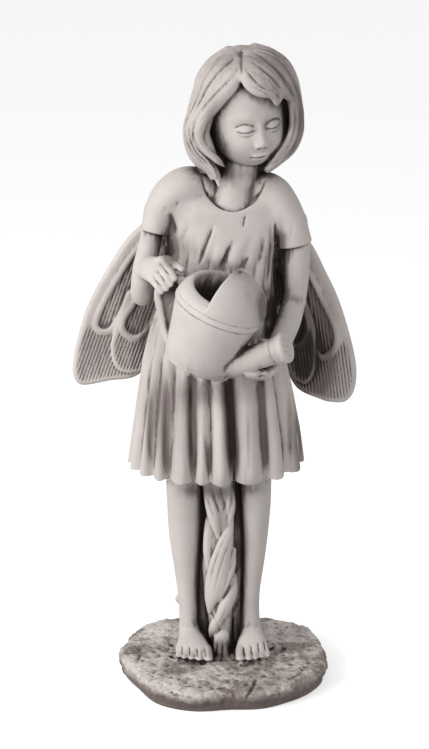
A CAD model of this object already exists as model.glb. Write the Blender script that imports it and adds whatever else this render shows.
"""Dresses the fairy garden statue: the carved cast stone piece, its weathering, and a plain stage.

The form is laid out in figure units. One unit is 1/598 of the figure's height, x runs to the
viewer's right, y to the back and z up from the soles. The forms become one fine skin, which is
carved, thinned and given five masks that its material reads: groove, fold, hollow, stain and
rock.
"""
import math

import bmesh
import bpy
import numpy as np
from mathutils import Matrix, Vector
from mathutils.bvhtree import BVHTree
from mathutils.kdtree import KDTree


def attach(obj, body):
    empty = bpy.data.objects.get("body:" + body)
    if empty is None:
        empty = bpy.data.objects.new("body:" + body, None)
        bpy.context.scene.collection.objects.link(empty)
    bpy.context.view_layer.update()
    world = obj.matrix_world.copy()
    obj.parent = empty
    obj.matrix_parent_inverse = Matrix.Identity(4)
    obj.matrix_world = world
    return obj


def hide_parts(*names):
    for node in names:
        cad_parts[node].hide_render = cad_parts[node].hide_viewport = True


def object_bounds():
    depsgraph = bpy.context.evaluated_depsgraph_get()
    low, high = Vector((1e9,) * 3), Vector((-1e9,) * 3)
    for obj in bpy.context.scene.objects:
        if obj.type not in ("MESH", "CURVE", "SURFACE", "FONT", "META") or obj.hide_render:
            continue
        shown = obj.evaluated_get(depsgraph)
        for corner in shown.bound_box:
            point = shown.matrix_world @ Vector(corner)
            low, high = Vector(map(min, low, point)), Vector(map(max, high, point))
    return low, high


bl_info = {
    "name": "Fairy garden statue",
    "version": (1, 0, 0),
    "blender": (4, 5, 0),
    "location": "3D View > Sidebar > Statue",
    "description": "Builds a cast stone fairy with a watering can and a plain stage for it",
    "category": "Object",
}

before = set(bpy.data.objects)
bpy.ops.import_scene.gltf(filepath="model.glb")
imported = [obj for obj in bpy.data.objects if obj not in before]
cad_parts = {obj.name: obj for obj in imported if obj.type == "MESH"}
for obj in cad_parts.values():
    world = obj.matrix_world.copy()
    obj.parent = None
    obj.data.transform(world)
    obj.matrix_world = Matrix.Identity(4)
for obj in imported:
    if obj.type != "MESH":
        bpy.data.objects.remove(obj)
CAD_BOX = [list(corner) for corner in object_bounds()]
STATUE = "fairy_statue"
# How tall the figure is in figure units
FIGURE_UNITS = 598.0
# A distance that is further than any in the figure
FAR = 1e9
# The piece has to have fewer triangles than this
MOST_TRIANGLES = 200000

# Sizes of the can, its handle and its spout that no setting changes, metres
CAN_BOTTOM_RADIUS = 0.0294
CAN_BAND_HEIGHT = 0.057
CAN_BAND_WIDTH = 0.008
CAN_HOOD_RISE = 0.0255
CAN_RIM_WIDTH = 0.0113
CAN_MOUTH_DEPTH = 0.020
CAN_RIM_SLOPE = 0.011
CAN_SHOULDER_RADIUS = 0.0420
HANDLE_THICKNESS = 0.011
HANDLE_BACK = -0.004
WEB_THICKNESS = 0.006
SPOUT_ROOT_RADIUS = 0.0108
SPOUT_END_RADIUS = 0.0121
ROSE_RADIUS = 0.0148
ROSE_LENGTH = 0.012
# Where the spout starts in the can's own frame: to the side, to the back and up
SPOUT_ROOT = np.array([CAN_BOTTOM_RADIUS - 0.004, 0.001, 0.0094])
# Where the web behind the handle ends, as a share of the band radius
WEB_INNER = -0.8
# The angle at which the spout rises, and the directions along it and across it in the can's frame
SPOUT_RISE = math.radians(46.0)
SPOUT_WAY = np.array([math.cos(SPOUT_RISE), 0.0, math.sin(SPOUT_RISE)])
SPOUT_UP = np.array([-math.sin(SPOUT_RISE), 0.0, math.cos(SPOUT_RISE)])

SKIRT_SEGMENTS = 420
# Directions that the flat side of a limb can turn to
FRONT = np.array([0.0, -1.0, 0.0])
TOP = np.array([0.0, 0.0, 1.0])
# The head's middle in figure units and how it's turned, nods and leans, degrees
HEAD_CENTRE = np.array([19.0, -6.0, 537.0])
HEAD_YAW = 18.0
HEAD_NOD = 12.0
HEAD_ROLL = 8.0

forms = []


class Measures:
    """The sizes in use, in metres, taken from the panel's settings before anything is built."""

    def read(self, settings):
        for name in ("figure_height", "base_thickness", "base_width", "base_depth", "wing_thickness",
                     "can_height", "can_band_radius", "spout_length"):
            setattr(self, name, getattr(settings, name))
        self.unit = self.figure_height / FIGURE_UNITS


M = Measures()


def add_rings(rings):
    """Keep a closed body that runs through rings of equal length, with a fan over each end."""
    rings = np.asarray(rings, float)
    count, sides = rings.shape[:2]
    index = np.arange(count * sides).reshape(count, sides)
    turned = np.roll(index, -1, axis=1)
    quads = np.stack([index[:-1], turned[:-1], turned[1:], index[1:]], axis=-1).reshape(-1, 4)
    middles = [rings[0].mean(axis=0), rings[-1].mean(axis=0)]
    faces = [tuple(quad) for quad in quads.tolist()]
    first, last = count * sides, count * sides + 1
    for a, b in zip(index[0].tolist(), turned[0].tolist()):
        faces.append((b, a, first))
    for a, b in zip(index[-1].tolist(), turned[-1].tolist()):
        faces.append((a, b, last))
    forms.append((np.vstack([rings.reshape(-1, 3), middles]), faces))


def smooth_path(points, count):
    """Count points along a smooth curve through the given rows, whatever the rows hold."""
    rows = np.asarray(points, float)
    rows = np.vstack([2 * rows[0] - rows[1], rows, 2 * rows[-1] - rows[-2]])
    spans = len(rows) - 3
    place = np.linspace(0, spans, count)
    start = np.minimum(place.astype(int), spans - 1)
    f = (place - start)[:, None]
    a, b, c, d = rows[start], rows[start + 1], rows[start + 2], rows[start + 3]
    return 0.5 * (2 * b + (c - a) * f + (2 * a - 5 * b + 4 * c - d) * f ** 2
                  + (3 * b - a - 3 * c + d) * f ** 3)


def unit(vectors):
    vectors = np.asarray(vectors, float)
    return vectors / np.maximum(np.linalg.norm(vectors, axis=-1, keepdims=True), 1e-9)


def soft_step(values, low, high):
    """0 below low, 1 above high and a smooth rise between them."""
    share = np.clip((values - low) / (high - low), 0, 1)
    return share * share * (3 - 2 * share)


def section_axes(path, facing):
    """Width and depth directions across a path, the depth side turned as near to facing as it can."""
    along = unit(np.gradient(path, axis=0))
    facing = np.broadcast_to(facing, path.shape)
    depth = unit(facing - (facing * along).sum(axis=1, keepdims=True) * along)
    return np.cross(along, depth), depth, along


def full_turn(count):
    """Angles evenly round a full turn."""
    return np.linspace(0, 2 * math.pi, count, endpoint=False)


def add_limb(stations, count=64, sides=48, facing=FRONT, ends=(0.9, 0.9)):
    """A round or flattened body along stations of x, y, z, half width and half depth.

    Each end is rounded by its share of the end's own size.
    """
    rows = smooth_path(stations, count)
    path, half = rows[:, :3], np.maximum(rows[:, 3:5], 0.3)
    width, depth, along = section_axes(path, facing)
    turn = full_turn(sides)[:, None]
    rings = (path[:, None] + np.cos(turn) * (half[:, 0, None] * width)[:, None]
             + np.sin(turn) * (half[:, 1, None] * depth)[:, None])
    caps = []
    for end, sign, share in ((0, -1.0, ends[0]), (-1, 1.0, ends[1])):
        reach = share * half[end].min()
        cap = []
        for step in (20, 40, 58, 74):
            lean = math.radians(step)
            centre = path[end] + sign * reach * math.sin(lean) * along[end]
            cap.append(centre + (rings[end] - path[end]) * math.cos(lean))
        caps.append(cap)
    add_rings(caps[0][::-1] + list(rings) + caps[1])


def add_ball(centre, radii, turn=None):
    """An ellipsoid, turned by a matrix if one is given."""
    rings = []
    angle = full_turn(72)
    for lean in np.radians(np.linspace(-87, 87, 45)):
        ring = np.stack([math.cos(lean) * np.cos(angle), math.cos(lean) * np.sin(angle),
                         np.full(len(angle), math.sin(lean))], axis=1) * radii
        rings.append((ring @ turn.T if turn is not None else ring) + centre)
    add_rings(rings)


def turn_matrix(yaw, nod, roll):
    """Rotation by roll about the view axis, then nod forward, then yaw to the viewer's right."""
    y, n, r = (math.radians(v) for v in (yaw, nod, roll))
    about_z = np.array([[math.cos(y), -math.sin(y), 0], [math.sin(y), math.cos(y), 0], [0, 0, 1]])
    about_x = np.array([[1, 0, 0], [0, math.cos(n), -math.sin(n)], [0, math.sin(n), math.cos(n)]])
    about_y = np.array([[math.cos(r), 0, -math.sin(r)], [0, 1, 0], [math.sin(r), 0, math.cos(r)]])
    return about_y @ about_z @ about_x


HEAD_TURN = turn_matrix(HEAD_YAW, HEAD_NOD, HEAD_ROLL)


# The dress

# z, centre x, centre y, half width, half depth to the front, half depth to the back
DRESS_STATIONS = np.array([
    (186, -7.5, 0, 83, 56, 54), (226, -7.5, -1, 78, 54, 50), (262, -8.0, -2, 73, 51, 46),
    (300, -9.2, -3, 66.5, 48, 44), (330, -8.5, -4, 60.5, 46, 43), (365, -4.0, -2, 52, 42, 40),
    (400, -1.5, 0, 50.5, 37.5, 40), (420, 0.5, 1, 54, 35, 40), (440, 1.5, 1, 57, 30, 38.5),
])
# How far the chest's section is from a plain ellipse; less is fuller
CHEST_FULLNESS = 0.78
# How much higher the hem hangs at the sides than in front
HEM_LIFT = 7.0
# Angles of the hem's valleys, degrees round from the front, and each pleat's height
PLEATS = np.array([(-82, 6), (-64, 8), (-48, 7), (-33, 8), (-14, 5), (-4, 10), (12, 10), (36, 8.5),
                   (56, 8), (82, 7.5), (102, 6), (124, 7.5), (146, 6), (166, 7.5), (186, 6),
                   (206, 7.5), (228, 6), (250, 7.5), (264, 5)])
# Where the bodice's valleys start at the yoke and end at the waist, degrees, and their height
GATHERS = np.array([(-78, -84, 2.2), (-50, -66, 2.4), (-30, -54, 2), (-4, -27, 2.6), (8, -9, 2),
                    (24, 8, 1.8), (42, 30, 2), (58, 50, 2.4), (74, 70, 2.2), (100, 100, 2),
                    (130, 130, 2.4), (160, 160, 2), (190, 190, 2.4), (220, 220, 2),
                    (250, 250, 2.4)])
# Heights of the hem, the waist, the yoke and where the dress turns in over the shoulders
HEM = 188.0
WAIST = 335.0
YOKE = 428.0
SHOULDER_START = 437.0
# The neckline's middle and half sizes from above, its height behind and its fall to the front
NECKLINE_CENTRE = (8.5, -4.0)
NECKLINE_HALF = (27.5, 25.0)
NECKLINE_TOP = 480.0
NECKLINE_FALL = 34.0


def pleat_height(angle, valleys, heights):
    """Height of rounded pleats between open valleys, for angles in degrees."""
    valleys = np.asarray(valleys, float)
    edges = np.append(valleys, valleys[0] + 360.0)
    shifted = (angle - valleys[0]) % 360.0 + valleys[0]
    pleat = np.clip(np.searchsorted(edges, shifted, side="right") - 1, 0, len(valleys) - 1)
    share = (shifted - edges[pleat]) / (edges[pleat + 1] - edges[pleat])
    return np.asarray(heights, float)[pleat] * (np.sin(math.pi * share) ** 1.1 - 0.5)


def dress_ring(z, angle):
    """The dress's outline at height z, pleats and gathers included."""
    row = [np.interp(z, DRESS_STATIONS[:, 0], DRESS_STATIONS[:, k]) for k in range(1, 6)]
    centre_x, centre_y, half_width, front, back = row
    turn = np.radians(angle)
    half_depth = np.where(np.cos(turn) > 0, front, back)
    low = np.clip((WAIST + 20 - z) / 130.0, 0, 1) ** 0.7
    high = np.clip((z - WAIST) / 30.0, 0, 1) * np.clip((YOKE - z) / 25.0, 0, 1)
    rise = low * pleat_height(angle, *PLEATS.T)
    share = np.clip((YOKE - z) / (YOKE - WAIST), 0, 1)
    upper, lower, heights = GATHERS.T
    rise = rise + high * pleat_height(angle, upper + (lower - upper) * share, heights)
    outward = unit(np.stack([np.sin(turn) / half_width, -np.cos(turn) / half_depth], axis=1))
    fullness = np.interp(z, (380, 425), (1.0, CHEST_FULLNESS))
    across = np.sign(np.sin(turn)) * np.abs(np.sin(turn)) ** fullness
    ahead = np.sign(np.cos(turn)) * np.abs(np.cos(turn)) ** fullness
    return np.stack([centre_x + half_width * across + rise * outward[:, 0],
                     centre_y - half_depth * ahead + rise * outward[:, 1],
                     np.full(len(turn), float(z))], axis=1)


def neckline(angle, inset=0.0, drop=0.0):
    """The round neckline, low in front and high at the back."""
    turn = np.radians(angle)
    return np.stack([NECKLINE_CENTRE[0] + (NECKLINE_HALF[0] - inset) * np.sin(turn),
                     NECKLINE_CENTRE[1] - (NECKLINE_HALF[1] - inset) * np.cos(turn),
                     NECKLINE_TOP - drop - NECKLINE_FALL * ((1 + np.cos(turn)) / 2) ** 1.6],
                    axis=1)


def add_dress():
    """Skirt and bodice in one, with a hollow under the hem and an open neckline."""
    angle = np.linspace(-180, 180, SKIRT_SEGMENTS, endpoint=False)
    hem = dress_ring(HEM, angle)
    hem[:, 2] += HEM_LIFT * (1 - np.cos(np.radians(angle))) ** 1.2
    hem[:, 2] -= 0.22 * pleat_height(angle, *PLEATS.T)
    middle = np.array([-6.5, 0.0, 0.0])
    rings = []
    for share, lift in ((0.3, 15), (0.62, 14), (0.84, 9), (0.92, 2)):
        ring = middle + (hem - middle) * (share, share, 1)
        ring[:, 2] += lift
        rings.append(ring)
    rings.append(hem)
    for z in np.arange(194, SHOULDER_START, 3.0):
        ring = dress_ring(z, angle)
        ring[:, 2] += (hem[:, 2] - HEM) * max(0.0, 1 - (z - HEM) / 60.0)
        rings.append(ring)
    chest = dress_ring(SHOULDER_START, angle)
    edge = neckline(angle)
    for lean in np.radians(np.linspace(12, 90, 12)):
        out = math.cos(lean) ** 0.75
        up = math.sin(lean) ** 0.85
        ring = edge + (chest - edge) * (out, out, 0)
        ring[:, 2] = chest[:, 2] + (edge[:, 2] - chest[:, 2]) * up
        rings.append(ring)
    rings.append(neckline(angle, inset=1.5, drop=0.5))
    rings.append(neckline(angle, inset=3.0, drop=5.0))
    add_rings(rings)


def add_sleeves():
    """The yoke across the shoulders and the short sleeves that hang from it."""
    add_limb([(-57, -4, 441, 15, 17), (-44, -3, 443, 19, 21), (-28, -1, 441, 23, 25),
              (-10, 0, 428, 20, 29), (8, 0, 424, 18, 30), (26, 0, 427, 20, 29),
              (42, -1, 435, 20, 25), (53, -3, 435, 18, 21), (61, -4, 431, 14, 17)])
    add_limb([(-6, 3, 447, 11, 15), (-21, 4, 461, 18, 20), (-35, 2, 462, 20.5, 24),
              (-48, -2, 455.5, 19, 23.5), (-57, -5, 445, 16.5, 21), (-61.5, -7, 434, 14.5, 18),
              (-64, -8, 423, 13.8, 16)], ends=(0.9, 0.12))
    add_limb([(21, 3, 445, 11, 15), (35, 4, 458, 18, 20), (45, 2, 455, 19.5, 23.5),
              (54, -2, 446, 17.5, 22), (60.5, -4, 434, 16.6, 20), (64, -6, 422, 16.6, 18),
              (66, -6, 411, 17.6, 17.5)], ends=(0.9, 0.12))


# The body

def add_torso_skin():
    """Chest and neck that show inside the neckline."""
    add_limb([(4, 2, 410, 40, 27), (6, 0, 428, 35, 26), (8, -1, 443, 28, 23.5),
              (10, -1, 456, 22, 20), (13, -1, 468, 17.5, 17), (16.5, -2, 482, 16, 16),
              (18, -4, 505, 16, 16)], ends=(0.3, 0.3))


def add_arms():
    """Both arms down to the wrists."""
    add_limb([(-64, -2, 442, 11, 12), (-68.5, -4, 415, 10.4, 11.5), (-74, -6, 388, 11.5, 12),
              (-76.5, -9, 366, 11.8, 12.5)])
    add_limb([(-76.5, -9, 364, 11.6, 12.5), (-76, -22, 370, 11, 12), (-75, -35, 382, 9.8, 10.5),
              (-73, -44, 393, 8, 9)], facing=np.array([0.0, -0.5, 1.0]))
    add_limb([(66, -2, 432, 13, 13.5), (68.8, -4, 405, 12.8, 13), (68.8, -5, 378, 12, 12.5),
              (66.8, -6, 356, 11.8, 12.5)])
    add_limb([(66.4, -7, 354, 11.6, 12.5), (60.5, -24, 338, 11.6, 12.5), (51.5, -46, 322, 10.5, 11),
              (44, -62, 314, 9, 9)])


def add_hand_on_handle():
    """Viewer's left hand: its back to the front, the fingers curled over the handle."""
    palm = [(-74.5, -46, 394, 9, 8), (-68, -56, 398, 12, 8), (-60, -67, 397, 12.5, 7.5)]
    knuckles = [(-60, -68, 394, 9, 7), (-53, -74, 390, 10, 6), (-48.5, -77, 387, 8, 5)]
    for stations in (palm, knuckles):
        add_limb(stations, facing=np.array([-0.4, -0.7, 0.6]), ends=(0.7, 0.7))
    for x, z, tip_x, tip_z in ((-52.5, 404, -44.5, 394.0), (-56.8, 399, -48.0, 389.0),
                               (-61.0, 394, -52.2, 385.0), (-65.0, 389.5, -57.0, 382.0)):
        add_limb([(x - 6, -62, z + 3, 4.0, 4.0), (x, -71, z + 0.5, 3.7, 4.0),
                  ((x + tip_x) / 2, -81, (z + tip_z) / 2 + 1.5, 3.4, 3.8),
                  (tip_x, -84.5, tip_z, 2.9, 3.1)], count=18, sides=16)
    add_limb([(-62, -60, 404, 5, 5), (-52, -68, 408, 4.8, 4.6), (-44, -75, 405, 4.1, 4.1),
              (-38.5, -80, 402, 3.3, 3.3)], count=18, sides=14)


def add_hand_under_spout():
    """Viewer's right hand: palm up under the spout, thumb over it."""
    add_limb([(46, -61, 314, 9.5, 8), (42, -74, 309, 11.5, 7), (38, -85, 306, 11, 6)],
             facing=np.array([0.2, -0.4, -1.0]), ends=(0.7, 0.7))
    fingers = (((37, -94, 308.5), (20.5, -99, 309.5)), ((37, -89, 306.5), (22.5, -93, 305.8)),
               ((38, -84, 305), (27, -87, 303.5)))
    for start, tip in fingers:
        middle = (np.array(start) + tip) / 2 + (0, -1, -1)
        add_limb([(*start, 3.6, 3.4), (*middle, 3.4, 3.2), (*tip, 2.7, 2.6)], count=14, sides=14)
    add_limb([(48, -63, 318, 4.8, 4.8), (42, -76, 330, 4.4, 4.4), (34, -89, 336, 3.6, 3.4)],
             count=16, sides=14)


def add_legs():
    """Bare legs from under the skirt down to the ankles."""
    add_limb([(-37.5, 8, 215, 18.5, 19), (-38, 9, 172, 17.8, 19), (-37.5, 12, 150, 17.6, 18.6),
              (-37, 15, 118, 16.6, 18), (-36, 15, 88, 13.6, 15.5), (-34.8, 13, 58, 10.6, 12.2),
              (-34, 12, 34, 9.6, 11), (-33.6, 11, 14, 11, 14)], count=60, sides=36)
    add_limb([(31.5, 8, 215, 17, 19), (31.5, 9, 172, 15.6, 18.5), (31.6, 12, 150, 15.2, 18),
              (31.2, 15, 118, 13.2, 17.4), (29.5, 15, 88, 11.4, 15), (27.4, 13, 58, 9.2, 12),
              (27, 12, 34, 9.2, 11), (28, 11, 14, 10.6, 14)], count=60, sides=36)


def add_foot(heel, ball, ball_half, toes):
    """A bare foot from heel to ball. Each toe holds its root, its tip and its half width."""
    heel = np.array(heel, float)
    ball = np.array(ball, float)
    middle = (heel + ball) / 2
    add_limb([(heel[0], heel[1] + 4, 10, 9, 10), (heel[0], heel[1] - 6, 14, 10, 13),
              (middle[0], middle[1], 12, 12.5, 10.5), (ball[0], ball[1] + 4, 7.5, ball_half, 7),
              (ball[0], ball[1] - 4, 5.6, ball_half, 5),
              (ball[0], ball[1] - 9, 4, ball_half * 0.92, 3.8)], facing=TOP, ends=(0.8, 0.8))
    for root_x, root_y, tip_x, tip_y, half in toes:
        middle_point = ((root_x + tip_x) / 2, (root_y + tip_y) / 2, 5.4)
        add_limb([(root_x, root_y, 6.0, half, half), (*middle_point, half, half * 0.95),
                  (tip_x, tip_y, 2.6, half * 0.92, half * 0.9)], count=14, sides=14, facing=TOP)


def add_feet():
    """Left foot turned a little inward, right foot straight ahead."""
    add_foot((-33.5, 16, 0), (-30, -18, 0), 16.5, [
        (-42.2, -15, -44.0, -28.0, 3.1), (-36.5, -17, -38.0, -31.5, 3.2),
        (-30.3, -18, -31.2, -34.0, 3.3), (-23.4, -18, -23.4, -36.0, 3.7),
        (-15.8, -16, -14.2, -36.0, 4.9)])
    add_foot((28.5, 16, 0), (28.5, -17, 0), 15.5, [
        (17.0, -16, 16.4, -35.0, 4.8), (24.6, -18, 25.2, -34.5, 3.5), (30.6, -17, 31.8, -32.5, 3.2),
        (36.0, -15, 37.9, -29.5, 3.2), (41.2, -12, 43.6, -26.5, 3.1)])


# The head

# Each lock's stations, as for a limb
HAIR_LOCKS = [
    [(9, -6, 590, 6, 5), (-3, -8, 581, 11, 8), (-13, -8, 565, 12, 9), (-15.5, -6, 548, 12, 9),
     (-21.5, -4, 536, 11, 9), (-28, -2, 524, 10.5, 9), (-29, -2, 511, 10, 9), (-25.5, -3, 498, 9.5, 9),
     (-18, -6, 486, 7, 7), (-13, -10, 479, 2.5, 3)],
    [(10, -27, 591, 5, 5), (-3, -33, 581, 12, 7), (-13, -34, 565, 13, 7), (-19.5, -30, 549, 12, 8),
     (-25.5, -24, 535, 11, 8), (-30, -20, 522, 9.5, 8), (-28.5, -20, 507, 8.5, 7.5),
     (-22, -23, 494, 6.5, 6.5), (-14, -26, 484, 2.5, 3)],
    [(14, -37, 586, 4, 4), (6, -44, 570, 11, 7), (-6, -43, 555, 11, 7.5), (-17, -39, 541, 10.5, 8),
     (-25.5, -34, 528, 10, 7.5), (-29.5, -30, 516, 9, 7.5), (-25.5, -30, 503, 8.5, 6.5),
     (-15, -32, 491, 6.5, 5.5), (-7, -34, 482, 4.5, 4), (-4, -35, 470, 1.2, 1.2)],
    [(-9, -40, 544, 4, 4), (-19, -42, 531, 5, 5), (-23, -42, 521, 5.2, 5), (-21, -43, 511, 5, 5),
     (-14, -45, 503, 4.4, 4.5), (-5, -46, 496, 3.2, 3.5), (1, -46, 490, 1, 1)],
    [(16, -41, 584, 3, 4), (21, -49, 576, 8, 6), (28, -54, 568, 10, 6), (37, -56, 563, 9, 5.5),
     (45, -55, 558, 4, 4)],
    [(17, -37, 588, 4, 4), (28, -45, 583, 8, 6), (41, -49, 574, 9.5, 6.5), (52, -47, 563, 8, 6),
     (60, -42, 553, 3, 3.5)],
    [(20, -26, 591, 5, 5), (35, -35, 587.5, 9, 6), (49, -37, 578, 10, 6.5), (60, -35, 564, 9, 6.5),
     (65, -31, 549, 8.5, 6.5), (67, -27, 533, 8, 7), (66, -25, 518, 8, 7), (59, -24, 504, 7, 6.5),
     (48, -23, 493, 5, 5), (40, -20, 484, 2, 2.5)],
    [(24, -8, 590.5, 8, 6), (39, -8, 587.5, 12, 8), (52, -8, 579, 13, 9), (60, -8, 565, 12, 9),
     (63.5, -6, 549, 11.5, 9), (65.5, -4, 533, 11, 9), (66, -4, 518, 10, 9), (60, -4, 503, 9, 9),
     (49, -6, 491, 7, 7), (40, -9, 481, 3, 4)],
    [(27, 8, 591, 10, 7), (45, 10, 583, 14, 8), (58, 12, 562, 14, 9), (62, 14, 533, 13, 9),
     (57, 14, 509, 11, 8), (43, 10, 489, 7, 6)],
    [(-10, -35, 546, 4, 4), (-15, -37, 533, 5.5, 5), (-18, -37, 521, 6, 5), (-14, -39, 510, 5, 5),
     (-8, -40, 500, 2, 2.5)],
    [(20, -17, 589, 8, 6), (37, -22, 587, 12, 7), (52, -24, 578, 12, 7), (61, -22, 563, 11, 7.5),
     (65, -18, 547, 10, 7.5), (67, -16, 531, 10, 7.5), (65, -15, 515, 9, 7), (56, -14, 500, 6, 5)],
    [(28, 18, 586, 10, 8), (48, 24, 577, 13, 9), (58, 26, 557, 13, 10), (60, 26, 530, 12, 10),
     (54, 24, 506, 10, 8), (44, 18, 488, 7, 6)],
    [(6, 18, 585, 10, 8), (-9, 22, 572, 12, 9), (-18, 24, 550, 12, 10), (-22, 25, 524, 11, 10),
     (-18, 23, 502, 9, 8), (-8, 17, 486, 7, 6)],
    [(6, 8, 589, 10, 7), (-11, 10, 574, 13, 8), (-20, 12, 550, 13, 9), (-26, 13, 524, 12, 9),
     (-22, 12, 502, 10, 8), (-11, 8, 484, 7, 6)],
]
# Locks that lie side by side, with hair between them
HAIR_PAIRS = [(0, 1), (1, 2), (0, 13), (13, 12), (4, 5), (6, 10), (10, 7), (7, 8), (8, 11)]


def head_point(local):
    """A point of the head's own frame, face towards -y, brought into the figure."""
    return HEAD_CENTRE + np.asarray(local, float) @ HEAD_TURN.T


def bump(x, z, at_x, at_z, wide, high):
    return np.exp(-((x - at_x) / wide) ** 2 - ((z - at_z) / high) ** 2)


def arc(x, z, middle_x, middle_z, half, bend, wide):
    """A soft line through a middle point, half as long as half, that falls by bend at its ends."""
    share = (x - middle_x) / half
    away = (z - middle_z + bend * share ** 2) / wide
    return np.exp(-away ** 2) * soft_step(1.15 - np.abs(share), 0, 0.35)


def face_relief(x, z):
    """How far the face stands forward of the plain head: a calm child's face looking down."""
    side = np.abs(x)
    brow = 1.2 * bump(side, z, 13, 7.5, 11, 5.0)
    socket = -2.4 * bump(side, z, 13.5, -2.5, 9.5, 6.5) - 1.0 * bump(side, z, 6.5, -3.5, 3.6, 4.5)
    oval = 1 - ((side - 14.2) / 8.6) ** 2 - ((z + 4.6) / 5.6) ** 2
    eyeball = 3.0 * np.clip(oval, 0, 1) ** 0.8
    bridge = 1.7 * bump(x, z, 0, -4, 4.6, 9)
    nose = (4.3 * bump(x, z, 0, -16.0, 5.4, 6.6) + 2.7 * bump(x, z, 0, -19.2, 4.6, 3.8)
            + 2.3 * bump(side, z, 5.4, -20.4, 2.9, 2.7))
    cheek = 2.8 * bump(side, z, 19, -22, 11, 10.5)
    muzzle = 1.5 * bump(x, z, 0, -31.5, 12, 8)
    upper_lip = 2.7 * arc(x, z, 0, -30.6, 9.0, 1.2, 2.1) - 0.5 * bump(x, z, 0, -28.6, 1.6, 1.4)
    lower_lip = 3.1 * arc(x, z, 0, -35.6, 7.2, -1.2, 2.4)
    under_lip = -0.8 * bump(x, z, 0, -39.8, 7, 2.0)
    chin = 2.6 * bump(x, z, 0, -45.5, 8.5, 4.8)
    return (brow + socket + eyeball + bridge + nose + cheek + muzzle + upper_lip + lower_lip
            + under_lip + chin)


def skull_radius(way):
    """The plain head's distance from its centre in each direction: a cranium and a jaw in one."""
    reach = []
    for centre, radii in (((0, 4, 8), (39, 46, 42)), ((0, -10, -14), (33, 33, 35))):
        a = ((way / radii) ** 2).sum(axis=1)
        b = -(way / radii * (np.array(centre) / radii)).sum(axis=1)
        c = ((np.array(centre) / radii) ** 2).sum() - 1
        reach.append((-b + np.sqrt(b * b - a * c)) / a)
    return (reach[0] ** 9 + reach[1] ** 9) ** (1 / 9)


def head_surface(way):
    """The head's surface in each direction, in its own frame, with the face's relief in front."""
    surface = way * skull_radius(way)[:, None]
    front = np.clip(-way[:, 1] * 1.6 - 0.3, 0, 1)
    surface[:, 1] -= front * face_relief(surface[:, 0], surface[:, 2])
    return surface


def add_head():
    """Cranium and jaw, with the face carved on the front."""
    rings = []
    turn = full_turn(260)
    for level in np.radians(np.linspace(-88, 88, 190)):
        way = np.stack([math.cos(level) * np.sin(turn), -math.cos(level) * np.cos(turn),
                        np.full(len(turn), math.sin(level))], axis=1)
        rings.append(head_point(head_surface(way)))
    add_rings(rings)


def all_locks():
    """The stations of every lock, those at the back of the head included."""
    back = [[(18 + 5 * side, 20, 586, 10, 7), (18 + 16 * side, 38, 564, 13, 8),
             (18 + 17 * side, 42, 532, 14, 9), (18 + 15 * side, 36, 503, 12, 9),
             (16 + 12 * side, 27, 481, 8, 7)] for side in range(-2, 3)]
    return HAIR_LOCKS + back


def add_hair():
    """A parted bob: a cap over the skull, smooth falls either side and a swept fringe."""
    add_ball(head_point((0, 9, 10)), (40, 44, 42), HEAD_TURN)
    add_ball(np.array([19.0, -10.0, 552.0]), (40, 34, 34))
    add_limb([(17, 6, 572, 36, 34), (18, 8, 545, 41, 37), (18, 12, 515, 40, 28),
              (18, 13, 494, 34, 21), (18, 12, 481, 27, 15)], count=50, ends=(0.5, 0.5))
    add_limb([(15, -36, 579, 8, 6), (16, -24, 586.5, 10, 6), (17, -8, 589.5, 13, 6.5),
              (17, 8, 589, 14, 7)], facing=TOP)
    for pair in HAIR_PAIRS:
        one, two = (smooth_path(HAIR_LOCKS[number], 12) for number in pair)
        apart = np.linalg.norm(one[:, :3] - two[:, :3], axis=1)
        rows = (one + two) / 2
        rows[:, 3] = np.maximum(0.6 * apart, 0.8 * rows[:, 3])
        rows[:, 4] *= 0.8
        path = smooth_path(rows, 40)[:, :3]
        add_limb(rows, count=40, sides=28, facing=unit(path - HEAD_CENTRE), ends=(0.6, 0.6))
    for stations in all_locks():
        path = smooth_path(stations, 60)[:, :3]
        add_limb(stations, count=60, sides=48, facing=unit(path - HEAD_CENTRE), ends=(0.7, 0.7))


# The wings

# Each lobe: the outline round the wing's root from its upper edge down and back in, and the
# raised loop on it, both as x, z; and how much further apart its two faces lie, each side
LEFT_LOBES = [
    ([(-24, 439), (-44, 441), (-65, 431), (-82, 417), (-93, 406), (-106.5, 386), (-129, 346),
      (-140, 315), (-146, 287), (-146.5, 271), (-138, 261), (-111, 265), (-84, 270), (-60, 296)],
     [(-36, 425), (-60, 417), (-83, 397), (-105, 364), (-117, 342), (-123, 327), (-122, 319),
      (-115, 316), (-107, 320), (-96, 340), (-78, 372), (-56, 398), (-36, 414)], 0.0),
    ([(-50, 405), (-76, 381), (-89, 359), (-94, 354), (-102, 331), (-109, 309), (-110, 292),
      (-106, 279), (-97, 273), (-84, 273), (-66, 280), (-46, 302), (-28, 350), (-14, 392)],
     [(-34, 402), (-60, 376), (-78, 356), (-91, 337), (-97, 326), (-96, 316), (-87, 310),
      (-77, 314), (-66, 330), (-48, 364), (-30, 392)], 2.6),
]
RIGHT_LOBES = [
    ([(28, 438), (46, 442), (64, 428), (85, 401), (98, 376), (112, 346), (123.5, 310), (130, 279),
      (128.5, 256), (120, 244), (106, 243), (95, 246), (71.5, 258), (56, 290)],
     [(46, 420), (66, 400), (82, 374), (97, 344), (106, 325), (109.5, 312), (108.5, 300),
      (100, 291), (92, 294), (84, 318), (72, 352), (56, 388), (42, 410)], 0.0),
    ([(54, 396), (74, 362), (85, 335), (90, 318), (91, 295), (90, 276), (85, 264), (76, 262),
      (62, 274), (46, 300), (32, 350), (18, 392)],
     [(38, 398), (60, 368), (74, 342), (80, 328), (80, 314), (75, 305), (67, 303), (56, 318),
      (44, 356), (32, 388)], 2.6),
]
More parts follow.
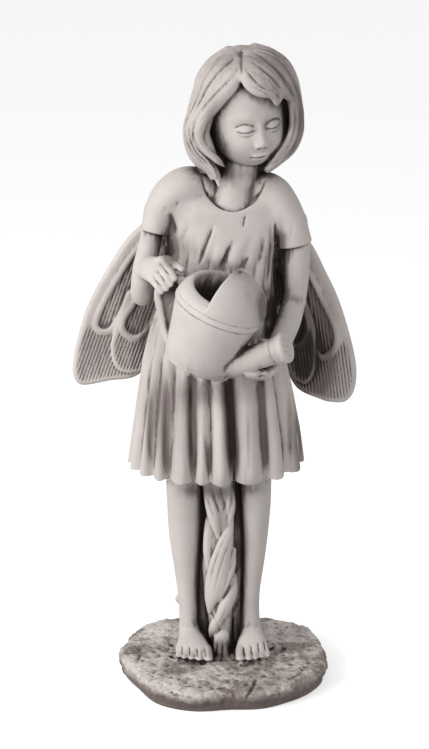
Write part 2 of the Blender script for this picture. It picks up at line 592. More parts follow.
# How much thicker a wing is at its root, how far it sinks into the back there, and the reach of both
WING_ROOT_SWELL = 3.5
WING_ROOT_SINK = 9.0
WING_ROOT_REACH = 42.0
LEFT_ROOT = (-20.0, 420.0)
RIGHT_ROOT = (24.0, 418.0)
# How strongly the relief shows on a lobe
WING_RELIEF = 0.8


def wing_middle(x):
    """Depth of a wing's middle surface: it sweeps a little to the front towards the tips."""
    return 45.5 - 0.05 * np.abs(x)


def distance_to_stretch(points, a, b):
    """Distance in the plane to the stretch from a to b, and the share of it that's nearest."""
    way = b - a
    share = np.clip(((points - a) @ way) / max(way @ way, 1e-9), 0, 1)
    return np.linalg.norm(points - a - share[:, None] * way, axis=1), share


def distance_to(points, line, closed=False):
    """Distance in the plane from points to a line of points."""
    line = np.asarray(line, float)
    ends = np.roll(line, -1, axis=0) if closed else line[1:]
    best = np.full(len(points), FAR)
    for a, b in zip(line, ends):
        best = np.minimum(best, distance_to_stretch(points, a, b)[0])
    return best


def inside(points, line):
    """Whether points of the plane lie inside a closed line."""
    line = np.asarray(line, float)
    odd = np.zeros(len(points), bool)
    for a, b in zip(line, np.roll(line, -1, axis=0)):
        if a[1] == b[1]:
            continue
        crosses = (a[1] > points[:, 1]) != (b[1] > points[:, 1])
        at = a[0] + (points[:, 1] - a[1]) * (b[0] - a[0]) / (b[1] - a[1])
        odd ^= crosses & (points[:, 0] < at)
    return odd


def wing_relief(to_edge, to_loop, within):
    """Relief on a lobe: a smooth border, a raised cord round the loop and a hollow inside it.

    It's found from the distances to the lobe's edge and to the loop, and what's within the loop.
    """
    border = 1.2 * np.exp(-((to_edge - 5.0) / 4.0) ** 2)
    cord = 2.0 * np.sqrt(np.clip(1 - (to_loop / 3.0) ** 2, 0, 1))
    hollow = np.where(within, -2.6 * np.clip((to_loop - 1.5) / 3.0, 0, 1), 0)
    return border + cord + hollow


def add_lobe(outline, loop, root, forward):
    """One lobe of a wing as a thin solid with the same relief on both faces."""
    edge = smooth_path(outline, 220)
    loop = smooth_path(loop, 60)
    shares = np.linspace(0.04, 1.0, 110)
    half = M.wing_thickness / M.unit / 2
    rings = []
    spokes = root + shares[None, :, None] * (edge - root)[:, None]
    places = spokes.reshape(-1, 2)
    reliefs = wing_relief(distance_to(places, edge), distance_to(places, loop, closed=True),
                          inside(places, loop)).reshape(spokes.shape[:2])
    for number, tip in enumerate(edge):
        points, relief = spokes[number], reliefs[number]
        from_end = min(number, len(edge) - 1 - number) / 12.0
        taper = np.sqrt(np.clip(1 - (1 - np.clip(from_end, 0, 1)) ** 2, 0.05, 1))
        fade = np.clip((np.linalg.norm(points - tip, axis=1)) / 4.0, 0, 1)
        rounded = np.sqrt(np.clip(1 - (1 - fade) ** 2, 0.02, 1))
        thick = (half + relief * WING_RELIEF) * rounded * taper
        near_root = np.exp(-(np.linalg.norm(points - root, axis=1) / WING_ROOT_REACH) ** 2)
        thick = thick + WING_ROOT_SWELL * near_root * taper
        middle = wing_middle(points[:, 0]) - WING_ROOT_SINK * near_root
        front, back = (np.stack([points[:, 0], middle + side * forward + side * thick,
                                 points[:, 1]], axis=1) for side in (-1, 1))
        rings.append(np.vstack([front, back[::-1]]))
    add_rings(rings)


def add_wings():
    for lobes, root in ((LEFT_LOBES, LEFT_ROOT), (RIGHT_LOBES, RIGHT_ROOT)):
        for outline, loop, forward in lobes:
            add_lobe(outline, loop, root, forward)


# The watering can

CAN_FOOT = np.array([-27.1, -78.0, 312.7])
CAN_AXIS = unit(np.array([37.5, -15.1, 91.5]))
# The spout's side of the can, seen from above, turned from the viewer's right towards the viewer
CAN_YAW = math.radians(20.7)
CAN_SIDE = np.array([math.cos(CAN_YAW), -math.sin(CAN_YAW), 0.0])
CAN_SIDE = unit(CAN_SIDE - (CAN_SIDE @ CAN_AXIS) * CAN_AXIS)
CAN_BACK = np.cross(CAN_AXIS, CAN_SIDE)


def can_point(side, back, up):
    """A point in the can's own frame, in metres, brought into figure units."""
    return CAN_FOOT + (np.multiply.outer(side, CAN_SIDE) + np.multiply.outer(back, CAN_BACK)
                       + np.multiply.outer(up, CAN_AXIS)) / M.unit


def add_can_body():
    """Tapered body with a two-line band, a rounded shoulder and a hollow mouth."""
    angle = full_turn(160)
    mouth = M.can_band_radius - CAN_RIM_WIDTH
    floor = M.can_height - CAN_MOUTH_DEPTH
    profile = [(CAN_BOTTOM_RADIUS * 0.6, 0.0), (CAN_BOTTOM_RADIUS - 0.0015, 0.0),
               (CAN_BOTTOM_RADIUS, 0.0015)]
    for share in np.linspace(0.15, 1, 8):
        profile.append((CAN_BOTTOM_RADIUS + (M.can_band_radius - CAN_BOTTOM_RADIUS) * share,
                        CAN_BAND_HEIGHT * share))
    profile += [(M.can_band_radius + 0.0012, CAN_BAND_HEIGHT + 0.001),
                (M.can_band_radius + 0.0014, CAN_BAND_HEIGHT + 0.006),
                (CAN_SHOULDER_RADIUS, CAN_BAND_HEIGHT + CAN_BAND_WIDTH),
                (CAN_SHOULDER_RADIUS - 0.0025, M.can_height - 0.004),
                (CAN_SHOULDER_RADIUS - 0.0065, M.can_height - 0.001),
                (mouth + 0.002, M.can_height), (mouth, M.can_height - 0.0015),
                (mouth - 0.002, floor), (mouth * 0.5, floor - 0.001)]
    rings = []
    for radius, up in profile:
        above = up - CAN_BAND_HEIGHT - CAN_BAND_WIDTH
        share = np.clip(above / (M.can_height - CAN_BAND_HEIGHT - CAN_BAND_WIDTH), 0, 1)
        raised = up + CAN_RIM_SLOPE * share * (1 + np.sin(angle)) / 2
        rings.append(can_point(radius * np.cos(angle), radius * np.sin(angle), raised))
    add_rings(rings)


def add_can_hood():
    """The half dome over the spout's side, cut straight across the mouth."""
    half_turn = np.radians(np.linspace(-90, 90, 33))
    across = np.linspace(1, -1, 17)[1:-1]
    outline = np.stack([np.append(np.cos(half_turn), 0 * across),
                        np.append(np.sin(half_turn), across)])
    low = CAN_BAND_HEIGHT + 0.010
    levels = [(M.can_band_radius - 0.004, M.can_height * 0.6)]
    for lean in np.radians(np.linspace(0, 88, 15)):
        levels.append((CAN_SHOULDER_RADIUS * math.cos(lean) ** 0.85,
                       low + (M.can_height + CAN_HOOD_RISE - low) * math.sin(lean)))
    add_rings([can_point(*(outline * radius), np.full(outline.shape[1], up))
               for radius, up in levels])


# The handle's middle line beside the can's axis and up it, as shares of the band radius and of
# the can's height
HANDLE_ROUTE = [(-0.95, 0.90), (-1.08, 0.91), (-1.28, 0.86), (-1.39, 0.75), (-1.35, 0.61),
                (-1.19, 0.47), (-0.99, 0.31), (-0.76, 0.15)]


def add_can_handle():
    """A strap from the rim under the hand down into the can's side, with a thin web behind it."""
    half = HANDLE_THICKNESS / 2 / M.unit
    route = np.array(HANDLE_ROUTE) * (M.can_band_radius, M.can_height)
    back = np.full(len(route), HANDLE_BACK)
    places = can_point(route[:, 0], back, route[:, 1])
    add_limb([(*place, half * 0.9, half * 0.9) for place in places], count=40, sides=20)
    edge = smooth_path(route[1:-1], 24)
    rings = []
    inner = WEB_INNER * M.can_band_radius
    for out, up in edge[::-1]:
        sides = np.array([out, out, inner, inner])
        depth = HANDLE_BACK + 0.001 + WEB_THICKNESS / 2 * np.array([-1, 1, 1, -1])
        rings.append(can_point(sides, depth, np.full(4, up)))
    add_rings(rings)


def add_can_spout():
    """A thick straight spout with a round rose at its end."""
    def round_station(along, radius):
        return (*can_point(*(SPOUT_ROOT + along)), radius / M.unit, radius / M.unit)

    spout = ((-0.2, SPOUT_ROOT_RADIUS), (0.0, SPOUT_ROOT_RADIUS),
             (0.5, (SPOUT_ROOT_RADIUS + SPOUT_END_RADIUS) / 2), (1.0, SPOUT_END_RADIUS))
    add_limb([round_station(SPOUT_WAY * M.spout_length * share, radius) for share, radius in spout],
             count=20, sides=32, ends=(0.1, 0.1))
    rose = ((0.0, SPOUT_END_RADIUS + 0.0004), (0.5, (SPOUT_END_RADIUS + ROSE_RADIUS) / 2),
            (0.9, ROSE_RADIUS), (1.0, ROSE_RADIUS - 0.0006))
    add_limb([round_station(SPOUT_WAY * (M.spout_length + ROSE_LENGTH * share), radius)
              for share, radius in rose], count=16, sides=32, ends=(0.25, 0.25))


# The trunk and the base

TRUNK_CENTRE = (-2.5, 5.0)
TRUNK_HALF = 13.6
LEAF_THICKNESS = 5.6
# Leaves wound on the trunk: height, angle from the front and half width along each
TRUNK_LEAVES = [
    [(40, -58, 3), (56, -44, 8), (76, -24, 10), (98, 0, 9.5), (118, 26, 7), (138, 56, 2)],
    [(54, -16, 2.5), (70, 14, 6), (88, 42, 6), (104, 70, 3)],
    [(30, -14, 3), (46, 20, 7), (62, 54, 6.5), (76, 86, 3)],
    [(172, -66, 6), (152, -44, 6.5), (134, -24, 5), (120, -12, 1.5)],
    [(134, -78, 2), (118, -68, 4.5), (100, -64, 5), (82, -62, 2)],
    [(190, 4, 6), (168, 32, 6), (148, 44, 5), (128, 34, 1.5)],
    [(14, -56, 3), (24, -34, 5.5), (36, -6, 5), (46, 14, 2)],
    [(30, 120, 3), (60, 150, 9), (95, 180, 10), (130, 210, 8), (155, 235, 2)],
    [(90, 110, 2), (120, 140, 8), (155, 170, 8), (185, 190, 4)],
    [(40, 200, 3), (60, 225, 8), (85, 250, 6), (105, 270, 2)],
]


def trunk_half(z):
    """The trunk's half width at a height."""
    return TRUNK_HALF * np.interp(z, (0, 20, 60, 205), (0.75, 0.8, 0.98, 1.0))


def add_trunk():
    """A trunk between the legs wound with long leaves, webs to both legs and two roots."""
    turn = full_turn(60)
    rings = []
    for z in np.linspace(-6, 205, 50):
        half = trunk_half(z)
        swell = 1 + 0.06 * np.cos(3 * (turn - z / 40.0))
        rings.append(np.stack([TRUNK_CENTRE[0] + half * swell * np.cos(turn),
                               TRUNK_CENTRE[1] + half * swell * np.sin(turn),
                               np.full(len(turn), z)], axis=1))
    add_rings(rings)
    for leaf in TRUNK_LEAVES:
        z, angle, width = np.array(leaf, float).T
        out = trunk_half(z)
        way = np.stack([np.sin(np.radians(angle)), -np.cos(np.radians(angle)), 0 * z], axis=1)
        middle = np.array([*TRUNK_CENTRE, 0.0]) + out[:, None] * way + np.outer(z, (0, 0, 1))
        rows = np.column_stack([middle, width, np.minimum(LEAF_THICKNESS, width)])
        path = smooth_path(rows, 30)[:, :3]
        outward = np.column_stack([path[:, :2] - TRUNK_CENTRE, 0 * path[:, 2]])
        add_limb(rows, count=30, sides=24, facing=outward)
    for x in (-20, 15):
        add_limb([(x, 17, -4, 9, 6), (x, 17, 60, 9, 6), (x, 17, 130, 9, 6), (x, 16, 205, 9, 6)])
    add_limb([(-1.5, -20, -0.5, 8, 2.5), (-1.5, -13, 5, 8, 4), (-1.5, -4, 18, 7.5, 5)], count=16)
    add_limb([(-8, 16, 22, 7, 7), (-28, 27, 30, 6, 6), (-44, 32, 41, 4.5, 4.5)], count=16)


# The base's outline: angle from the viewer's right towards the back, and share of its half size
BASE_OUTLINE = [(-169, 0.984), (-150, 0.975), (-134, 1.04), (-122, 1.078), (-106, 1.09), (-87, 1.02),
                (-68, 1.05), (-53, 1.06), (-26, 1.06), (-6, 1.014), (19, 1.028), (44, 1.06),
                (66, 1.008), (90, 0.965), (113, 0.998), (131, 1.008), (153, 1.015), (169, 1.0)]
BASE_CENTRE = (-1.0, 3.0)
# A rise behind the left foot and a pebble beside the right one: centre and half sizes
MOUNDS = [((-46.0, 52.0, -3.0), (34, 26, 9)), ((54.0, 0.0, 1.0), (6, 5, 4.5))]


def add_base():
    """An uneven slab of rock, nearly round, its top risen a little behind the left foot."""
    pairs = np.array(BASE_OUTLINE)
    closed = np.vstack([pairs[-2:] - (360, 0), pairs, pairs[:2] + (360, 0)])
    curve = smooth_path(closed, 400)
    degrees = np.linspace(-180, 180, 180, endpoint=False)
    reach = np.interp(degrees, curve[:, 0], curve[:, 1])
    angle = np.radians(degrees)
    thick = M.base_thickness / M.unit
    rings = []
    for share, up in ((0.6, -thick - 5), (0.93, -thick - 5), (0.945, -thick), (0.975, -thick * 0.8),
                      (1.0, -thick * 0.5), (0.99, -thick * 0.25), (0.96, -2.2), (0.90, -0.6),
                      (0.7, 0.6), (0.4, 0.8), (0.1, 0.8)):
        rough = 1 + 0.008 * np.sin(7 * angle + up * 0.4) + 0.005 * np.sin(13 * angle - up * 0.5)
        rings.append(np.stack([
            BASE_CENTRE[0] + M.base_width / M.unit / 2 * share * reach * rough * np.cos(angle),
            BASE_CENTRE[1] + M.base_depth / M.unit / 2 * share * reach * rough * np.sin(angle),
            np.full(180, float(up))], axis=1))
    add_rings(rings)
    for centre, radii in MOUNDS:
        add_ball(np.array(centre), radii)


# The skin and its carving

GRAIN_SEED = 7
GRAIN_CELLS = 32
GRAIN_TABLE = np.random.RandomState(GRAIN_SEED).rand(GRAIN_CELLS, GRAIN_CELLS, GRAIN_CELLS)
GRAIN_TABLE.setflags(write=False)


def value_noise(points, size):
    """Smooth noise from -1 to 1 at figure points, with lumps of about the given size."""
    place = np.asarray(points, float) / size + 100.0
    cell = np.floor(place).astype(int)
    part = place - cell
    part = part * part * (3 - 2 * part)
    total = np.zeros(len(place))
    for corner in range(8):
        step = np.array([corner & 1, corner >> 1 & 1, corner >> 2 & 1])
        weight = np.where(step, part, 1 - part).prod(axis=1)
        x, y, z = ((cell + step) % GRAIN_CELLS).T
        total += weight * GRAIN_TABLE[x, y, z]
    return 2 * total - 1


def layered_noise(points, size, layers):
    """Noise with finer layers over it, each half the size and strength of the one before."""
    total = sum(0.5 ** k * value_noise(np.asarray(points) + 31.7 * k, size * 0.5 ** k)
                for k in range(layers))
    return total / sum(0.5 ** k for k in range(layers))


def to_figure(points):
    """Points in metres brought into figure units."""
    return (points - (0, 0, M.base_thickness)) / M.unit


def to_metres(points):
    """Points in figure units brought into metres, with the soles on the base's top."""
    return points * M.unit + (0, 0, M.base_thickness)


def read_rows(items, name, width, kind=float):
    """One property of all items of a mesh as rows of the given width."""
    values = np.empty(width * len(items), dtype=kind)
    items.foreach_get(name, values)
    return values.reshape(-1, width)


class Skin:
    """The casting's skin as arrays while it's smoothed and carved, its points in figure units."""

    def __init__(self, mesh):
        self.mesh = mesh
        self.stain = np.zeros(len(mesh.vertices))
        self.points = to_figure(read_rows(mesh.vertices, "co", 3))
        self.one, self.two = read_rows(mesh.edges, "vertices", 2, np.int64).T.copy()
        self.links = (np.bincount(self.one, minlength=len(self.points))
                      + np.bincount(self.two, minlength=len(self.points)))

    def store(self):
        """Put the points back in the mesh, in metres, inside the CAD model's box."""
        metres = to_metres(self.points)
        metres[:, :2] = np.clip(metres[:, :2], CAD_BOX[0][:2], CAD_BOX[1][:2])
        metres[:, 2] = np.minimum(metres[:, 2], CAD_BOX[1][2])
        self.mesh.vertices.foreach_set("co", metres.ravel())
        self.mesh.update()

    def normals(self):
        self.store()
        return read_rows(self.mesh.vertex_normals, "vector", 3)

    def neighbours_mean(self, values):
        """Each place's mean over its neighbours, for one column of values or several."""
        columns = values.reshape(len(self.points), -1).T
        count = len(self.points)
        mean = [(np.bincount(self.one, column[self.two], count)
                 + np.bincount(self.two, column[self.one], count)) / self.links for column in columns]
        return np.stack(mean, axis=1).reshape(values.shape)

    def blur(self, values, steps, share=0.5):
        for _ in range(steps):
            values = values + share * (self.neighbours_mean(values) - values)
        return values

    def raise_by(self, height, near=slice(None)):
        """Move the chosen places out along their normals by their heights, in figure units."""
        self.points[near] += height[:, None] * self.normals()[near]


# Where the skin is softened most, so that sleeves, elbows, wrists and ankles run together and the
# parting lies flat: centre, half sizes and how much
SOFT_SPOTS = [((-45, -8, 447), (24, 36, 22), 1.0), ((50, -8, 441), (24, 36, 22), 1.0),
              ((-33, -14, 456), (15, 24, 16), 0.7), ((38, -14, 452), (15, 24, 16), 0.7),
              ((-76.5, -10, 366), (16, 18, 12), 0.5), ((66.5, -8, 358), (20, 24, 20), 0.9),
              ((-73, -45, 394), (10, 9, 10), 0.3), ((45, -62, 315), (11, 9, 10), 0.3),
              ((18, -40, 576), (8, 18, 20), 0.5),
              ((-33.5, 8, 21), (17, 24, 15), 1.0), ((28, 8, 21), (17, 24, 15), 1.0)]
# How often the skin is smoothed there and everywhere, and how much the hair is smoothed
SPOT_STEPS = 90
SOFTEN_STEPS = 3
HAIR_SOFTNESS = 0.09
# How far the hair reaches from the head's centre, and the heights between which it ends
HAIR_REACH = 76.0
HAIR_END = (466.0, 480.0)


def hair_share(points):
    """1 on the hair, 0 on the face and away from the head."""
    share = np.zeros(len(points))
    near = np.flatnonzero(((points - HEAD_CENTRE) ** 2).sum(axis=1) < HAIR_REACH ** 2)
    local = (points[near] - HEAD_CENTRE) @ HEAD_TURN
    reach = np.linalg.norm(local, axis=1)
    way = local / np.maximum(reach, 1e-6)[:, None]
    over = reach - np.linalg.norm(head_surface(way), axis=1)
    share[near] = (np.where(way[:, 1] > 0.2, 1.0, soft_step(over, 1.2, 3.0))
                   * soft_step(HAIR_REACH - reach, 0, 8) * soft_step(points[near, 2], *HAIR_END))
    return share


def soften(skin):
    """Smooth the skin a little everywhere, more on the hair and much more in the soft spots."""
    softness = np.zeros(len(skin.points))
    for centre, radii, strength in SOFT_SPOTS:
        away = (((skin.points - centre) / radii) ** 2).sum(axis=1)
        softness = np.maximum(softness, strength * np.clip(1.6 * (1 - away), 0, 1))
    softness = np.maximum(softness, HAIR_SOFTNESS * hair_share(skin.points))
    skin.points = skin.blur(skin.points, SOFTEN_STEPS)
    near = np.flatnonzero(softness > 0)
    local = np.full(len(skin.points), -1)
    local[near] = np.arange(len(near))
    chosen = (local[skin.one] >= 0) & (local[skin.two] >= 0)
    one, two = local[skin.one[chosen]], local[skin.two[chosen]]
    links = np.bincount(one, minlength=len(near)) + np.bincount(two, minlength=len(near))
    part = skin.points[near]
    for _ in range(SPOT_STEPS):
        mean = np.stack([np.bincount(one, part[two, k], len(near))
                         + np.bincount(two, part[one, k], len(near)) for k in range(3)], axis=1)
        mean = mean / np.maximum(links, 1)[:, None]
        part = part + 0.5 * (softness[near] * (links > 0))[:, None] * (mean - part)
    skin.points[near] = part


# The photograph's view, in which the carved lines of the front are laid out: the camera's place,
# how far it looks down in degrees, its focal length and the picture's size in pixels, and how
# far behind the nearest place something still counts as seen, metres
CAMERA_PLACE = np.array([-0.0085, -2.082, 0.861])
CAMERA_PITCH = 14.99
FOCAL_PIXELS = 2246.0
FRAME_WIDTH = 429
FRAME_HEIGHT = 749
SEEN_DEPTH = 0.006


def seen_from_camera(skin):
    """Each place's pixel in the photograph's view, and whether nothing lies in front of it."""
    metres = to_metres(skin.points) - CAMERA_PLACE
    pitch = math.radians(CAMERA_PITCH)
    ahead = metres[:, 1] * math.cos(pitch) - metres[:, 2] * math.sin(pitch)
    up = metres[:, 1] * math.sin(pitch) + metres[:, 2] * math.cos(pitch)
    across = FRAME_WIDTH / 2 + FOCAL_PIXELS * metres[:, 0] / ahead
    down = FRAME_HEIGHT / 2 - FOCAL_PIXELS * up / ahead
    column, row = np.floor(across).astype(int) + 1, np.floor(down).astype(int) + 1
    nearest = np.full((FRAME_WIDTH + 2, FRAME_HEIGHT + 2), FAR)
    np.minimum.at(nearest, (column, row), ahead)
    front = np.minimum.reduce([np.roll(nearest, (i, j), (0, 1))
                               for i in (-1, 0, 1) for j in (-1, 0, 1)])
    return np.stack([across, down], axis=1), ahead < front[column, row] + SEEN_DEPTH


def carve_lines(skin, lines, stain):
    """Cut lines into what the camera sees. Each has its pixels, half width in pixels and depth.

    The depth is in figure units. A line thins out at both its ends.
    """
    pixels, seen = seen_from_camera(skin)
    height = np.zeros(len(skin.points))
    for places, half, depth in lines:
        path = np.array(places, float)
        if len(places) > 2:
            path = smooth_path(path, 6 * len(places))
        low, high = path.min(axis=0) - 3 * half, path.max(axis=0) + 3 * half
        near = np.flatnonzero(seen & (pixels > low).all(axis=1) & (pixels < high).all(axis=1))
        if not len(near):
            continue
        away, along = distance_along(pixels[near], path)
        ends = soft_step(np.minimum(along, 1 - along), -0.06, 0.32)
        cut = -depth * ends * np.exp(-(away / half) ** 2)
        wash = min(LINE_STAIN_MOST, stain * depth) * ends ** 2
        wash = wash * np.exp(-(away / (LINE_STAIN_SPREAD * half)) ** 2)
        skin.stain[near] = np.maximum(skin.stain[near], wash)
        height[near] = np.minimum(height[near], cut)
    skin.raise_by(height)


def lay_wash(skin):
    """Add the broad areas of wash, the hair's wash and the gutter inside the neckline."""
    pixels, seen = seen_from_camera(skin)
    seen = skin.blur(seen.astype(float), SEEN_MARGIN) > 0.01
    behind = seen & (skin.points[:, 1] > WING_START)
    for spots, chosen in ((WASH_SPOTS, seen), (WING_SPOTS, behind)):
        for u, v, wide, high, strength in spots:
            away = ((pixels[:, 0] - u) / wide) ** 2 + ((pixels[:, 1] - v) / high) ** 2
            skin.stain += np.where(chosen, strength * np.exp(-away), 0)
    skin.stain += HAIR_WASH * hair_share(skin.points)
    near = np.flatnonzero((np.abs(skin.points[:, 2] - GUTTER_LEVEL) < GUTTER_RISE)
                          & (np.abs(skin.points[:, 0] - NECKLINE_CENTRE[0]) < GUTTER_REACH))
    gap = np.full(len(near), FAR)
    for place in neckline(np.linspace(-180, 180, 160), inset=1.6, drop=1.2):
        gap = np.minimum(gap, ((skin.points[near] - place) ** 2).sum(axis=1))
    skin.stain[near] += GUTTER_STAIN * np.exp(-gap / GUTTER_STAIN_WIDTH ** 2)
    skin.raise_by(-GUTTER_DEPTH * np.exp(-gap / GUTTER_WIDTH ** 2), near)


def distance_along(points, line):
    """Distance in the plane to an open line, and the share of the line's length there."""
    line = np.asarray(line, float)
    lengths = np.linalg.norm(line[1:] - line[:-1], axis=1)
    before = np.append(0, np.cumsum(lengths))
    best = np.full(len(points), FAR)
    along = np.zeros(len(points))
    for k, (a, b) in enumerate(zip(line[:-1], line[1:])):
        away, share = distance_to_stretch(points, a, b)
        closer = away < best
        best = np.where(closer, away, best)
        along = np.where(closer, (before[k] + share * lengths[k]) / before[-1], along)
    return best, along


# Lines carved on the front, each as its pixels, half width and depth: folds of the skirt, gathers
# and creases of the bodice, gaps of the fingers and toes, the hair, the leaves and the rock
SKIRT_LINES = [
    ([(166, 366), (166, 430), (167, 492)], 3.4, 2.2), ([(191, 360), (192, 430), (194, 494)], 3.2, 2.1),
    ([(226, 356), (231, 430), (235, 494)], 5.0, 2.8), ([(260, 350), (264, 430), (268, 490)], 3.4, 2.2),
    ([(205, 428), (208, 455), (210, 484)], 2.4, 1.3), ([(151, 378), (150, 430), (150, 472)], 2.6, 1.4),
    ([(290, 385), (290, 430), (290, 472)], 2.6, 1.4), ([(249, 405), (249, 440), (250, 480)], 1.8, 0.8),
]
BODICE_LINES = [
    ([(190, 224), (185, 233), (179, 243)], 2.2, 1.0), ([(214, 223), (206, 245), (197, 269)], 2.1, 2.4),
    ([(198, 246), (196, 256), (194, 266)], 3.0, 0.8), ([(231, 243), (226, 256), (220, 270)], 1.8, 2.0),
    ([(250, 254), (244, 265), (238, 276)], 2.2, 1.8), ([(263, 232), (262, 250), (259, 268)], 2.2, 1.2),
    ([(271, 218), (271, 250), (267, 286)], 1.6, 1.6), ([(276, 236), (276, 262), (274, 292)], 1.8, 1.8),
    ([(167, 206), (163, 214)], 1.7, 0.7), ([(179, 200), (175, 207)], 1.7, 0.7),
    ([(192, 208), (189, 215)], 1.5, 0.5), ([(246, 214), (244, 222), (243, 229)], 1.5, 1.1),
    ([(293, 224), (291, 236)], 1.6, 0.7), ([(170, 212), (172, 222), (175, 236)], 2.8, 2.6),
    ([(275, 221), (276, 234), (276, 248)], 1.6, 2.0), ([(234, 182), (237, 187)], 3.2, 0.6),
    ([(209, 198), (205, 189), (202, 175)], 1.1, 1.7), ([(256, 198), (261, 190), (265, 179)], 1.1, 1.7),
]
# Broad areas of wash on the front: middle, half sizes in pixels and strength
WASH_SPOTS = [
    (170, 248, 8, 17, 1.9), (188, 250, 12, 14, 0.5), (214, 264, 12, 9, 0.5), (228, 270, 14, 7, 0.5),
    (266, 254, 5, 12, 0.3), (280, 272, 6, 34, 2.2), (267, 308, 8, 18, 2.0), (242, 268, 10, 8, 0.3),
    (172, 425, 36, 60, 0.38), (206, 391, 40, 16, 0.65), (235, 424, 8, 46, 0.35),
    (190, 432, 5, 46, 0.3), (268, 430, 30, 46, 0.18), (299, 440, 6, 50, 0.9),
    (152, 320, 10, 26, 0.5), (156, 420, 12, 60, 0.3), (248, 300, 13, 26, 0.28),
    (272, 358, 12, 10, 0.4), (245, 342, 16, 5, 0.12), (250, 285, 10, 20, 0.16),
    (222, 650, 13, 12, 1.2), (196, 491, 16, 7, 0.8), (250, 489, 14, 7, 0.7), (222, 492, 14, 9, 0.7),
    (281, 84, 20, 36, 0.3), (303, 118, 10, 44, 0.5), (296, 162, 12, 16, 0.6),
    (262, 58, 30, 14, 0.25), (213, 128, 7, 24, 0.4), (224, 160, 7, 14, 0.45),
    (228, 60, 26, 12, 0.2), (240, 175, 20, 4, 0.2), (256, 184, 7, 12, 0.4), (288, 291, 4, 5, 0.6),
    (146, 240, 8, 6, 0.3), (162, 243, 6, 9, 0.4), (283, 238, 8, 7, 0.5), (186, 655, 16, 5, 0.4),
    (258, 655, 16, 5, 0.4),
]
# The same on the wings alone, which lie further back than the arms
WING_SPOTS = [(98, 346, 24, 34, 0.28), (128, 300, 8, 50, 0.3), (146, 336, 14, 30, 0.35),
              (306, 355, 17, 38, 1.9), (299, 300, 9, 42, 1.9), (324, 345, 13, 42, 0.9)]
WING_START = 22.0
FINGER_LINES = [([(163.5, 268.5), (169.7, 275.8)], 0.8, 0.9), ([(159.5, 274), (165.5, 282.5)], 0.8, 0.9),
                ([(154, 278.5), (161.3, 286.7)], 0.8, 0.9)]
TOE_LINES = [([(u, v), (u + lean, v + 12)], 0.8, 1.5)
             for u, v, lean in ((182.3, 644.5, -0.4), (189.7, 645.5, 0.0), (197.0, 646.5, 0.5),
                                (204.6, 647.5, 1.2), (243.6, 645.0, 0.6), (250.9, 643.5, 1.0),
                                (257.9, 641.5, 1.4), (263.9, 639.5, 1.8))]
HAIR_LINES = [
    ([(242, 47), (241, 60), (241, 78)], 1.2, 1.8),
    ([(239, 66), (230, 79), (216, 93), (203, 108), (195, 124)], 1.3, 1.0),
    ([(237, 57), (222, 69), (208, 86), (198, 104), (190, 120)], 1.3, 1.1),
    ([(234, 50), (217, 61), (204, 79), (196, 99), (187, 118)], 1.3, 1.0),
    ([(226, 48), (212, 59), (202, 75), (197, 88)], 1.2, 0.8),
    ([(186, 117), (184, 132), (189, 148), (200, 161), (212, 170)], 1.4, 1.2),
    ([(191, 121), (189, 136), (196, 152), (208, 165), (218, 177)], 1.4, 1.2),
    ([(200, 110), (194, 124), (193, 137), (201, 151), (212, 162), (219, 172)], 1.3, 1.0),
    ([(246, 50), (262, 57), (277, 70), (289, 88), (297, 104)], 1.4, 1.3),
    ([(252, 46), (271, 53), (287, 69), (298, 92), (301, 110)], 1.3, 1.0),
    ([(245, 58), (258, 66), (272, 78), (285, 94)], 1.4, 1.3),
    ([(244, 66), (252, 78), (262, 87), (274, 92)], 1.2, 1.0),
    ([(247, 62), (262, 74), (275, 86)], 1.0, 0.6),
    ([(299, 98), (301, 116), (299, 134), (293, 149), (284, 160)], 1.3, 1.1),
    ([(294, 104), (295, 122), (292, 138), (286, 151)], 1.2, 0.9),
]
# The share of the depths listed below to which the lines of the leaves are cut
LEAF_DEPTH = 0.75
LEAF_LINES = [(places, half, LEAF_DEPTH * depth) for places, half, depth in [
    ([(217, 638), (216.5, 648), (214.5, 659)], 1.3, 1.5),
    ([(222.5, 640), (222.5, 650), (221.5, 662)], 1.1, 1.4),
    ([(228, 639), (229, 649), (230.5, 660)], 1.3, 1.5),
    ([(208, 600), (212, 572), (221, 546), (233, 524)], 1.1, 0.9),
    ([(213, 602), (218, 575), (227, 549), (236, 530)], 1.0, 0.8),
    ([(205, 588), (209, 562), (219, 538)], 0.9, 0.7), ([(221, 598), (228, 575), (237, 552)], 1.3, 1.1),
    ([(205, 493), (210, 507), (217, 523)], 1.3, 1.2), ([(211, 490), (216, 504), (221, 516)], 1.0, 0.8),
    ([(233, 490), (231, 505), (226, 521)], 1.3, 1.1), ([(226, 490), (225, 504), (222, 514)], 1.0, 0.7),
    ([(240, 563), (231, 584), (219, 607)], 1.4, 1.3), ([(240, 595), (233, 610), (224, 627)], 1.3, 1.2),
    ([(210, 609), (215, 620), (221, 632)], 1.0, 0.9), ([(228, 604), (222, 618), (216, 626)], 1.0, 0.8),
]]
ROCK_LINES = [
    ([(257, 676), (253, 686), (245, 701)], 1.7, 2.2), ([(152, 662), (180, 671), (206, 668)], 2.2, 1.2),
    ([(228, 669), (246, 665), (266, 661)], 2.0, 1.2), ([(132, 640), (140, 652), (136, 666)], 2.4, 1.4),
    ([(198, 690), (222, 688), (240, 692)], 1.8, 1.2), ([(160, 684), (176, 694), (200, 699)], 2.0, 1.3),
    ([(270, 655), (284, 651), (298, 654)], 1.8, 1.2), ([(282, 684), (300, 672), (312, 656)], 2.2, 1.2),
]
FRONT_LINES = BODICE_LINES + FINGER_LINES + TOE_LINES + ROCK_LINES
